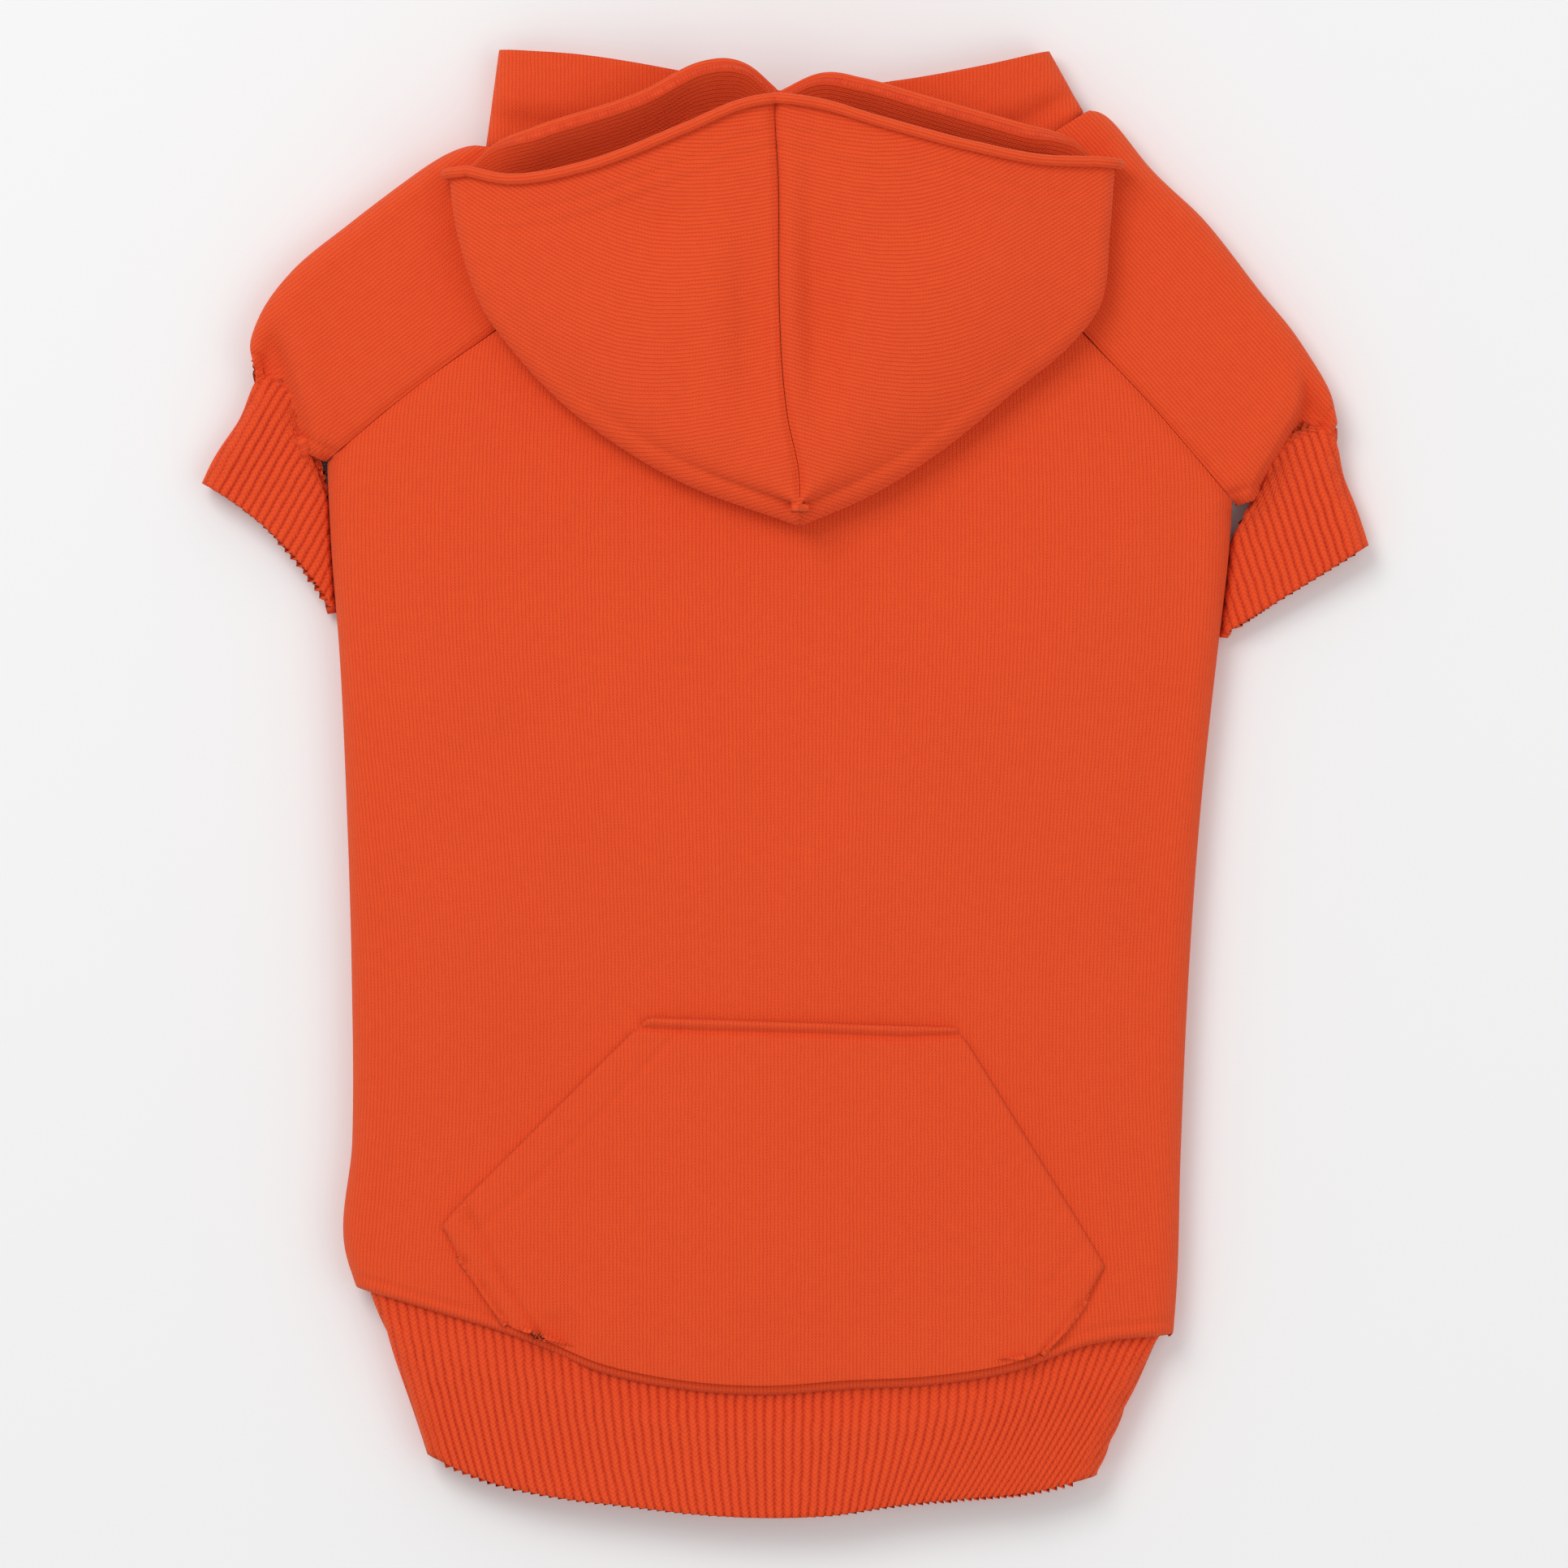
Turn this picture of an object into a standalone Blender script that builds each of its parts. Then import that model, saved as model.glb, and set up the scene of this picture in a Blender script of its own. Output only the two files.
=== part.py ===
"""Dog hoodie, lying flat with its back up and its hood folded down on the back.

X runs across the body, Y from the hem to the neck and Z up from the surface that it lies on.
The origin is in the middle of its outline, on that surface. All lengths are in metres.
The pieces are worked out with the neckline at y = 0 and the middle of the back at x = 0,
and are then moved together so that the origin lies in the middle.
"""

import bmesh
import bpy
import numpy as np

# Driving dimensions
CHEST_WIDTH = 0.2055
BODY_LENGTH = 0.2533
SIDE_WRAP = 0.022
HEM_DROP = 0.0242
HEM_DEPTH = 0.0345
HEM_OPENING = 0.1526
CUFF_DEPTH = 0.0262
NECK_WIDTH = 0.1395
NECK_RISE = 0.0279
NECK_OPENING = 0.1252
HOOD_WIDTH = 0.1508
HOOD_LENGTH = 0.0962
POCKET_WIDTH = 0.1511
POCKET_LENGTH = 0.0857

# Cloth and clearances
FLEECE = 0.0020
RIB_KNIT = 0.0020
SEAM_GAP = 0.0005
HOOD_SEAM_GAP = 0.0010
REST_GAP = 0.0004
LAP = 0.0030

# How far the flattened tubes stand open
SIDE_FOLD = 0.0120
BODY_PUFF = 0.0050
PUFF_REACH = 0.020
CUFF_FOLD = 0.0088
CUFF_INNER_FOLD = 0.0064
HEM_FOLD = 0.0112
NECK_FOLD = 0.0105
HOOD_FOLD = 0.0090
HOOD_PUFF = 0.0095
RIM_CURL = 0.0085
POCKET_PUFF = 0.0012

# Shares of a band's depth over which its lapped end drops to the surface and opens
LAP_END = 0.04
DROP_REACH = 0.3
HEM_OPENS = 0.3
NECK_OPENS = 0.5
CUFF_OPENS = 0.3
CUFF_DROP = 0.35
CUFF_TUCK = 0.75
HEM_LEAN = 1.15
HEM_TAPER = 0.9

# Ribs of the knitted bands
HEM_RIBS = 80
CUFF_RIBS = 23
RIB_HEIGHT = 0.0006

FLEECE_ORANGE = (0.896, 0.089, 0.018, 1.0)
RIB_ORANGE = (0.831, 0.075, 0.016, 1.0)
CLOTH_ROUGHNESS = 0.9

TINY = 1e-9
LEFT, RIGHT = -1, 1
SIDE_NAMES = {LEFT: "left", RIGHT: "right"}


def table(columns, *rows):
    """Rows of shares under named columns."""
    return dict(zip(columns.split(), np.array(rows, float).T))


# Half widths of the body, in shares of half the chest, from the hem seam up to the neckline
BODY_SIDES = table(
    "along left right",
    (0.00, 0.942, 0.866),
    (0.03, 0.965, 0.873),
    (0.13, 0.951, 0.882),
    (0.28, 0.952, 0.900),
    (0.43, 0.963, 0.927),
    (0.58, 0.981, 0.967),
    (0.65, 0.995, 0.987),
    (0.75, 1.008, 1.004),
)
# How much of the puff the back has
BODY_CROWN = table(
    "along rise",
    (-0.15, 0.30),
    (0.00, 0.55),
    (0.20, 0.85),
    (0.50, 1.00),
    (0.75, 0.80),
    (1.00, 0.50),
    (1.15, 0.30),
)
# The seam over the ribbed hem band and the band's depth below it, across the back
HEM = table(
    "across seam depth",
    (-1.0, 0.00, 1.10),
    (-0.8, 0.23, 1.12),
    (-0.6, 0.47, 1.05),
    (-0.4, 0.79, 0.88),
    (-0.2, 0.95, 0.82),
    (0.0, 1.00, 0.81),
    (0.2, 0.95, 0.83),
    (0.4, 0.91, 0.79),
    (0.6, 0.79, 0.83),
    (0.8, 0.53, 0.97),
    (1.0, 0.44, 0.93),
)
# Raglan seams from the neckline down to the underarm: x in half chests, y in body lengths
RAGLAN = table(
    "along left_x left_y right_x right_y",
    (0.0, -0.185, 0.000, 0.355, 0.000),
    (0.3, -0.387, -0.071, 0.499, -0.075),
    (0.6, -0.628, -0.142, 0.666, -0.146),
    (0.8, -0.810, -0.194, 0.821, -0.212),
    (1.0, -1.008, -0.260, 1.004, -0.299),
)
# Folded outer edge of the sleeves, from the neck to the cuff, in the same shares
SHOULDER = table(
    "along left_x left_y right_x right_y",
    (0.0, -0.678, 0.024, 0.690, 0.055),
    (0.2, -0.814, -0.011, 0.800, -0.004),
    (0.4, -0.954, -0.048, 0.936, -0.048),
    (0.6, -1.078, -0.086, 1.058, -0.107),
    (0.8, -1.159, -0.131, 1.154, -0.156),
    (0.9, -1.177, -0.155, 1.210, -0.194),
    (1.0, -1.165, -0.176, 1.230, -0.224),
)
# Outer edge of the cuffs from their seam down to the opening, in cuff depths
CUFF_EDGE = table(
    "along left_x left_y right_x right_y",
    (0.0, 0.00, -0.07, 0.00, -0.05),
    (0.4, -0.14, -0.42, 0.05, -0.44),
    (0.8, -0.38, -0.80, 0.20, -0.82),
    (1.0, -0.47, -0.99, 0.28, -1.06),
)
CUFF_INNER_END = {LEFT: 1.31, RIGHT: 1.14}
SLEEVE_BOW = {LEFT: 0.16, RIGHT: 0.13}
OPENING_BOW = {LEFT: 0.07, RIGHT: 0.0}
UNDER_BOW = -0.22
# Neckline and free edge of the neck band, in shares of its rise
NECK = table(
    "across base top",
    (-1.00, 0.22, 1.00),
    (-0.70, 0.10, 0.95),
    (-0.30, 0.01, 0.80),
    (0.00, 0.00, 0.66),
    (0.45, 0.00, 0.74),
    (0.75, 0.13, 0.86),
    (1.00, 0.50, 0.99),
)
NECK_SHIFT = -0.028
# Edges of the hood, in half widths and lengths of the hood from the middle of its rim
HOOD_SEAM = table(
    "down x",
    (-0.10, -0.010),
    (0.00, -0.020),
    (0.20, -0.010),
    (0.50, -0.007),
    (0.62, 0.000),
    (0.75, 0.018),
    (0.87, 0.050),
    (1.00, 0.054),
)
HOOD_RIM = table(
    "along left_x left_y right_x right_y",
    (0.00, -0.020, 0.000, -0.020, 0.000),
    (0.12, -0.130, -0.018, 0.110, -0.014),
    (0.30, -0.300, -0.072, 0.300, -0.055),
    (0.60, -0.620, -0.163, 0.600, -0.114),
    (0.85, -0.869, -0.192, 0.840, -0.146),
    (1.00, -0.999, -0.172, 1.000, -0.148),
)
HOOD_FAR_RIM = table(
    "along left_x left_y right_x right_y",
    (0.00, -0.010, 0.010, -0.010, 0.010),
    (0.12, -0.110, 0.075, 0.110, 0.052),
    (0.28, -0.255, 0.080, 0.260, 0.040),
    (0.45, -0.440, 0.012, 0.450, 0.000),
    (0.75, -0.771, -0.069, 0.760, -0.065),
    (0.92, -0.930, -0.115, 0.930, -0.100),
    (1.00, -0.999, -0.165, 1.000, -0.145),
)
HOOD_EDGE = table(
    "along left_x left_y right_x right_y",
    (0.00, -0.999, -0.172, 1.000, -0.148),
    (0.15, -0.977, -0.300, 0.985, -0.300),
    (0.32, -0.915, -0.460, 0.955, -0.480),
    (0.45, -0.850, -0.545, 0.850, -0.585),
    (0.58, -0.707, -0.675, 0.700, -0.681),
    (0.72, -0.530, -0.790, 0.500, -0.810),
    (0.88, -0.250, -0.915, 0.260, -0.930),
    (1.00, 0.054, -1.000, 0.054, -1.000),
)
SEAM_TURN = 0.86
CURL_REACH = 0.13
# Dents and ridges of the hood's upper layer: place and reach in half widths and lengths,
# rise in shares of the hood's puff
HOOD_DENTS = table(
    "x y reach_x reach_y rise",
    (0.135, -0.53, 0.06, 0.22, -0.32),
    (-0.115, -0.56, 0.07, 0.26, -0.20),
    (-0.215, -0.45, 0.08, 0.20, 0.16),
    (-0.345, -0.30, 0.12, 0.10, -0.16),
    (0.600, -0.45, 0.25, 0.22, 0.18),
)
# Hollows of the sleeves beside the fold over each cuff: place and reach in half chests
# and body lengths, depth in shares of the side fold
SLEEVE_DENTS = table(
    "x y reach_x reach_y rise",
    (-1.115, -0.168, 0.050, 0.045, -0.15),
    (1.185, -0.228, 0.050, 0.040, -0.15),
    (-0.700, -0.090, 0.120, 0.060, -0.10),
)
# Outline of the pocket from the hem up, in half widths and lengths of the pocket
POCKET = table(
    "along left_x left_y right_x right_y",
    (0.00, -0.722, 0.085, 0.747, 0.060),
    (0.22, -0.857, 0.276, 0.874, 0.184),
    (0.40, -0.995, 0.447, 0.998, 0.341),
    (0.46, -0.942, 0.503, 0.942, 0.425),
    (0.92, -0.450, 0.937, 0.590, 0.924),
    (1.00, -0.372, 1.000, 0.548, 0.974),
)
POCKET_SHIFT = -0.027
HEM_CURVE_REACH = 0.35
POCKET_CURVE_REACH = 0.4
# The hood's upper layer falls off towards its fold and its tip
HOOD_ROUND = 2.2
HOOD_TIP_DROP = 0.45
CURL_EDGE = 0.25
CURL_LOW = 0.45

HALF_CHEST = CHEST_WIDTH / 2
FOLD_RADIUS = SIDE_FOLD / 2
INSIDE = FLEECE + REST_GAP
FOLD_STEPS = np.array([0.0, 0.15, 0.5, 1.0]) * FOLD_RADIUS


def smooth(rows, column, at, by="along"):
    """A column's value at a share, on a smooth curve through the table's rows."""
    x = rows[by]
    y = rows[column]
    slope = np.gradient(y, x)
    at = np.clip(at, x[0], x[-1])
    i = np.clip(np.searchsorted(x, at) - 1, 0, len(x) - 2)
    step = x[i + 1] - x[i]
    t = (at - x[i]) / step
    rise = y[i + 1] - y[i]
    return (
        y[i]
        + step * slope[i] * (t - 2 * t**2 + t**3)
        + rise * (3 * t**2 - 2 * t**3)
        + step * slope[i + 1] * (t**3 - t**2)
    )


def straight(rows, column, at, by="along"):
    """A column's value at a share, on straight runs between the table's rows."""
    return np.interp(at, rows[by], rows[column])


def ease(share):
    """Runs from 0 to 1 with no corner at either end."""
    share = np.clip(share, 0.0, 1.0)
    return share * share * (3 - 2 * share)


def packed_ends(count):
    """Shares from 0 to 1 that lie closer together at both ends."""
    return (1 - np.cos(np.linspace(0, np.pi, count))) / 2


def place(rows, side, at, unit_x, unit_y, read=smooth):
    """A point of a plan curve for one side, in metres."""
    name = SIDE_NAMES[side]
    x = read(rows, name + "_x", at) * unit_x
    y = read(rows, name + "_y", at) * unit_y
    return np.stack([x, y], axis=-1)


def dents(rows, x, y, unit_x, unit_y):
    """Sum of the soft hollows and ridges in a table, in shares of its height."""
    total = np.zeros(np.shape(x))
    for i in range(len(rows["x"])):
        far_x = (x / unit_x - rows["x"][i]) / rows["reach_x"][i]
        far_y = (y / unit_y - rows["y"][i]) / rows["reach_y"][i]
        total = total + rows["rise"][i] * np.exp(-(far_x**2) - far_y**2)
    return total


def side_x(side, along):
    return side * HALF_CHEST * smooth(BODY_SIDES, SIDE_NAMES[side], along)


def body_y(across, along):
    """Rows of the body are level at the chest and follow the hem seam lower down."""
    sag = HEM_DROP * smooth(HEM, "seam", across, by="across")
    near_hem = np.clip(1 - along / HEM_CURVE_REACH, 0, 1)
    return BODY_LENGTH * (along - 1) - sag * near_hem**2


def neck_y(x):
    across = x / (NECK_WIDTH / 2)
    return NECK_RISE * smooth(NECK, "base", across, by="across")


def raglan(side, at):
    return place(RAGLAN, side, at, HALF_CHEST, BODY_LENGTH)


def underarm(side):
    return raglan(side, 1.0)


def underarm_along(side):
    return 1 + underarm(side)[1] / BODY_LENGTH


def shoulder(side, at):
    return place(SHOULDER, side, at, HALF_CHEST, BODY_LENGTH)


def under_raglan(side, at):
    """The raglan seam on the underside ends at the back panel's free edge."""
    inward = np.array([-side * SIDE_WRAP, 0.0])
    at = np.asarray(at)[..., None]
    return raglan(side, at[..., 0]) + inward * at**3


def seam_x(curve, side, y):
    """x of a raglan seam at a height y, for numbers or arrays."""
    points = curve(side, np.linspace(0, 1, 60))
    return np.interp(y, points[::-1, 1], points[::-1, 0])


def fold_top(edge):
    """Height of a folded edge's upper half, at a distance from its outline."""
    inside = np.clip(FOLD_RADIUS - edge, 0, FOLD_RADIUS)
    return FOLD_RADIUS + np.sqrt(FOLD_RADIUS**2 - inside**2)


def fold_bottom(edge):
    return SIDE_FOLD - fold_top(edge)


def rise_at(x, y):
    """How far the back stands above its folded edges."""
    lengthwise = smooth(BODY_CROWN, "rise", 1 + y / BODY_LENGTH)
    crosswise = np.clip(1 - (x / HALF_CHEST) ** 2, 0, 1)
    return BODY_PUFF * lengthwise * crosswise


def top_height(x, y, edge):
    """Upper surface of the body and sleeves, at a distance from the nearest fold."""
    return fold_top(edge) + rise_at(x, y) * ease(edge / PUFF_REACH)


def cloth_material(name, colour):
    material = bpy.data.materials.new(name)
    material.use_nodes = True
    shader = material.node_tree.nodes["Principled BSDF"]
    shader.inputs["Base Color"].default_value = colour
    shader.inputs["Roughness"].default_value = CLOTH_ROUGHNESS
    shader.inputs["Metallic"].default_value = 0.0
    return material


def add_piece(name, bm, colour):
    mesh = bpy.data.meshes.new(name)
    bm.to_mesh(mesh)
    bm.free()
    piece = bpy.data.objects.new(name, mesh)
    bpy.data.collections["Dog hoodie"].objects.link(piece)
    mesh.materials.append(cloth_material(name + "_cloth", colour))
    mesh.shade_smooth()
    return piece


def add_cloth(name, points, cells=None):
    """A fleece panel from rows of points on its outer side, with its wall built inwards."""
    rows, columns = points.shape[:2]
    if cells is None:
        cells = np.ones((rows - 1, columns - 1), bool)
    bm = bmesh.new()
    made = {}
    for i, j in zip(*np.nonzero(cells)):
        face = []
        for key in ((i, j), (i, j + 1), (i + 1, j + 1), (i + 1, j)):
            if key not in made:
                made[key] = bm.verts.new(points[key])
            face.append(made[key])
        bm.faces.new(face)
    piece = add_piece(name, bm, FLEECE_ORANGE)
    solid = piece.modifiers.new("Wall", "SOLIDIFY")
    solid.thickness = FLEECE
    solid.offset = -1
    return piece


def add_tube(name, outer, inner, colour):
    """A closed tube's wall from matching rings of points on its outer and inner sides."""
    rows, columns = outer.shape[:2]
    bm = bmesh.new()
    out = [[bm.verts.new(point) for point in ring] for ring in outer]
    into = [[bm.verts.new(point) for point in ring] for ring in inner]
    for j in range(columns):
        k = (j + 1) % columns
        for i in range(rows - 1):
            bm.faces.new((out[i][j], out[i][k], out[i + 1][k], out[i + 1][j]))
            bm.faces.new((into[i][k], into[i][j], into[i + 1][j], into[i + 1][k]))
        bm.faces.new((out[0][k], out[0][j], into[0][j], into[0][k]))
        bm.faces.new((out[-1][j], out[-1][k], into[-1][k], into[-1][j]))
    return add_piece(name, bm, colour)


def tube_ring(start, end, bow, bottom, folds, crown, counts, wall, ribs=0, rib_height=0.0):
    """One ring of a flattened tube: over the top from start to end, and back along the bottom.

    folds are the heights of its folded edges, crown(x, y, edge) the rise between them, and
    wall how far the ring lies inside the outer side."""
    top_count, fold_count, bottom_count = counts
    along = end - start
    length = np.hypot(*along)
    along = along / length
    out = np.array([-along[1], along[0]])
    start = start + along * wall
    length = length - 2 * wall
    bottom = bottom + wall
    radius_start, radius_end = folds[0] / 2 - wall, folds[1] / 2 - wall
    run = length - radius_start - radius_end

    def plan(at):
        share = at / length
        bend = bow * length * 4 * share * (1 - share)
        return start + at[:, None] * along + bend[:, None] * out

    def edge_height(share):
        return radius_start + (radius_end - radius_start) * share

    share = np.linspace(0, 1, top_count)
    at = radius_start + run * share
    flat = plan(at)
    edge = np.minimum(at, length - at)
    wave = rib_height * (np.cos(2 * np.pi * ribs * share) - 1) / 2
    top_z = bottom + 2 * edge_height(share) + crown(flat[:, 0], flat[:, 1], edge) + wave
    top = np.column_stack([flat, top_z])
    turn = np.linspace(np.pi / 2, -np.pi / 2, fold_count + 2)
    at = length - radius_end + radius_end * np.cos(turn[1:-1])
    end_lift = crown(*plan(at[:1])[0], 0.0)
    end_z = bottom + radius_end + (radius_end + end_lift) * np.sin(turn[1:-1])
    end_fold = np.column_stack([plan(at), end_z])
    at = length - radius_end - run * np.linspace(0, 1, bottom_count)
    base = np.column_stack([plan(at), np.full(bottom_count, bottom)])
    at = radius_start - radius_start * np.cos(turn[1:-1])
    start_z = bottom + radius_start - radius_start * np.sin(turn[1:-1])
    start_fold = np.column_stack([plan(at), start_z])
    return np.concatenate([top, end_fold, base, start_fold])


def back_panel():
    """The back, folded round both sides to the underside."""
    turns = {side: underarm_along(side) for side in (LEFT, RIGHT)}
    low = np.linspace(0, turns[RIGHT], 11)
    rows = np.concatenate([low, [turns[LEFT]], np.linspace(turns[LEFT], 1, 5)[1:]])
    across = np.linspace(0, 1, 15)[1:-1]
    wrap = np.concatenate([[SIDE_WRAP], FOLD_STEPS[:0:-1]])
    points = []
    for along in rows:
        y_level = BODY_LENGTH * (along - 1)
        ends = {}
        for side in (LEFT, RIGHT):
            folds = along <= turns[side] + TINY
            ends[side] = side_x(side, along) if folds else seam_x(raglan, side, y_level)
        inner = ends[LEFT] + FOLD_RADIUS + (ends[RIGHT] - ends[LEFT] - SIDE_FOLD) * across
        top_x = np.concatenate([ends[LEFT] + FOLD_STEPS, inner, ends[RIGHT] - FOLD_STEPS[::-1]])
        share = 2 * (top_x - ends[LEFT]) / (ends[RIGHT] - ends[LEFT]) - 1
        top_y = body_y(share, along)
        far = []
        for side in (LEFT, RIGHT):
            beyond_y = np.maximum(top_y - underarm(side)[1], 0)
            edge_x = side_x(side, along) if beyond_y[0] == 0 else underarm(side)[0]
            far.append(np.hypot(top_x - edge_x, beyond_y))
        top_z = top_height(top_x, top_y, np.minimum(*far))
        top = np.column_stack([top_x, top_y, top_z])
        sides = []
        for side in (LEFT, RIGHT):
            x = ends[side] - side * wrap
            y = np.full(len(wrap), body_y(side, along))
            sides.append(np.column_stack([x, y, fold_bottom(wrap)]))
        points.append(np.concatenate([sides[0], top, sides[1][::-1]]))
    points = np.array(points)
    columns = points.shape[1]
    cells = np.ones((len(rows) - 1, columns - 1), bool)
    for side in (LEFT, RIGHT):
        above = rows[:-1] >= turns[side] - TINY
        strip = slice(0, len(wrap)) if side == LEFT else slice(columns - 1 - len(wrap), None)
        cells[above, strip] = False
    return add_cloth("back_panel", points, cells=cells)


def belly_panel():
    """The flat underside between the back panel's edges and the sleeves."""
    turns = {side: underarm_along(side) for side in (LEFT, RIGHT)}
    rows = np.concatenate([np.linspace(0, turns[RIGHT], 8), np.linspace(turns[LEFT], 1, 5)])
    points = []
    for along in rows:
        y_level = BODY_LENGTH * (along - 1)
        ends = []
        for side in (LEFT, RIGHT):
            if along <= turns[side]:
                x = side_x(side, along) - side * SIDE_WRAP
            else:
                x = seam_x(under_raglan, side, y_level)
            ends.append(x - side * SEAM_GAP)
        x = np.linspace(*ends, 10)
        whole = 2 * (x - side_x(LEFT, along)) / (side_x(RIGHT, along) - side_x(LEFT, along)) - 1
        y = body_y(np.clip(whole, -1, 1), along)
        points.append(np.column_stack([x, y, np.zeros(len(x))]))
    return add_cloth("belly_panel", np.array(points)[:, ::-1])


def sleeve(side):
    """A raglan sleeve, one panel folded round the outer edge of the arm."""
    rows = np.linspace(0, 1, 10)
    corner = underarm(side)
    points = []
    for along in rows:
        outer = shoulder(side, along)
        strips = []
        layers = ((raglan(side, along), SLEEVE_BOW[side]), (under_raglan(side, along), UNDER_BOW))
        for inner, bow in layers:
            chord = outer - inner
            length = np.hypot(*chord)
            at = SEAM_GAP / length + (1 - SEAM_GAP / length) * packed_ends(9)
            across = np.array([chord[1], -chord[0]]) * side
            bend = bow * along**2 * 4 * at * (1 - at)
            flat = inner + at[:, None] * chord + bend[:, None] * across
            level = neck_y(flat[:, 0]) - flat[:, 1]
            flat[:, 1] += level * (1 - along) ** 6 * (along < 0.5)
            strips.append((flat, (1 - at) * length))
        flat, edge = strips[0]
        near_underarm = np.hypot(*(flat - corner).T)
        edge = np.minimum(edge, near_underarm)
        hollow = SIDE_FOLD * dents(SLEEVE_DENTS, flat[:, 0], flat[:, 1], HALF_CHEST, BODY_LENGTH)
        height = top_height(flat[:, 0], flat[:, 1], edge) + hollow * ease(edge / FOLD_RADIUS)
        top = np.column_stack([flat, height])
        flat, edge = strips[1]
        under = np.column_stack([flat, fold_bottom(edge)])
        points.append(np.concatenate([top, under[-2::-1]]))
    points = np.array(points)
    if side == RIGHT:
        points = points[:, ::-1]
    return add_cloth(SIDE_NAMES[side] + "_sleeve", points)


def cuff(side):
    """A ribbed tube, lapped into the sleeve's end and tucked under the body's side."""
    seam_end = shoulder(side, 1.0)
    corner = underarm(side)
    counts = (2 * CUFF_RIBS + 1, 3, 9)
    outer_rings, inner_rings = [], []
    lap_fold = SIDE_FOLD * (1 + SLEEVE_DENTS["rise"].min()) - 2 * INSIDE
    for along in (-LAP / CUFF_DEPTH, 0.12, 0.5, 0.8, 1.0):
        outer = seam_end + place(CUFF_EDGE, side, max(along, 0), CUFF_DEPTH, CUFF_DEPTH)
        down = CUFF_INNER_END[side] * CUFF_DEPTH * along
        lapped = ease(1 - along / CUFF_OPENS)
        y = corner[1] - max(down, 0.0)
        beside = np.array([side_x(side, 1 + y / BODY_LENGTH), y])
        toward_seam = (seam_end - corner) / np.hypot(*(seam_end - corner))
        inner = beside + toward_seam * lapped * SIDE_FOLD * CUFF_TUCK
        if along < 0:
            back = np.array([-side, 1.0]) / np.sqrt(2) * LAP
            outer = outer + back + toward_seam * -INSIDE
            inner = inner + back
        bow = (OPENING_BOW[side] + (SLEEVE_BOW[side] - OPENING_BOW[side]) * lapped) * -side
        bottom = INSIDE * ease(1 - along / CUFF_DROP)
        open_fold = CUFF_FOLD + (lap_fold - CUFF_FOLD) * lapped
        ends = (outer, inner)
        folds = (open_fold, CUFF_INNER_FOLD)
        if side == RIGHT:
            ends = ends[::-1]
            folds = folds[::-1]
            bow = -bow
        shape = (*ends, bow, bottom, folds, lambda x, y, edge: 0 * edge, counts)
        outer_rings.append(tube_ring(*shape, 0.0, CUFF_RIBS, RIB_HEIGHT * (1 - lapped)))
        inner_rings.append(tube_ring(*shape, RIB_KNIT))
    rings = np.array(outer_rings)[::-1], np.array(inner_rings)[::-1]
    return add_tube(SIDE_NAMES[side] + "_cuff", *rings, RIB_ORANGE)


def band_ring(ends, level, bottom, fold, counts, wall, ribs=0, rib_height=0.0):
    """A ring across the whole body, with level(across) giving its y."""
    start, end = np.array([ends[0], 0.0]), np.array([ends[1], 0.0])

    def crown(x, y, edge):
        return rise_at(x, level(2 * (x - ends[0]) / (ends[1] - ends[0]) - 1)) * ease(edge / PUFF_REACH)

    ring = tube_ring(start, end, 0.0, bottom, (fold, fold), crown, counts, wall, ribs, rib_height)
    ring[:, 1] = level(2 * (ring[:, 0] - ends[0]) / (ends[1] - ends[0]) - 1)
    return ring


def hem_band():
    """The ribbed band at the waist, lapped into the body's end."""
    counts = (2 * HEM_RIBS + 1, 3, 19)
    middle = (side_x(LEFT, 0) + side_x(RIGHT, 0)) / 2 * HEM_LEAN
    outer_rings, inner_rings = [], []
    for along in (-LAP / HEM_DEPTH, LAP_END, 0.4, 1.0):
        lapped = ease(1 - max(along - LAP_END, 0) / HEM_OPENS)
        ends = []
        for side in (LEFT, RIGHT):
            top = side_x(side, 0) - side * INSIDE
            opening = middle + side * HEM_OPENING / 2
            ends.append(top + (opening - top) * max(along, 0) ** HEM_TAPER)
        bottom = INSIDE * ease(1 - (along - LAP_END) / DROP_REACH)
        fold = HEM_FOLD + (SIDE_FOLD - 2 * INSIDE - HEM_FOLD) * lapped

        def level(across, along=along):
            across = np.clip(across, -1, 1)
            depth = HEM_DEPTH * smooth(HEM, "depth", across, by="across")
            return body_y(across, 0) - depth * along

        shape = (ends, level, bottom, fold, counts)
        outer_rings.append(band_ring(*shape, 0.0, HEM_RIBS, RIB_HEIGHT * (1 - lapped)))
        inner_rings.append(band_ring(*shape, RIB_KNIT))
    return add_tube("hem_band", np.array(outer_rings)[::-1], np.array(inner_rings)[::-1], RIB_ORANGE)


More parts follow.
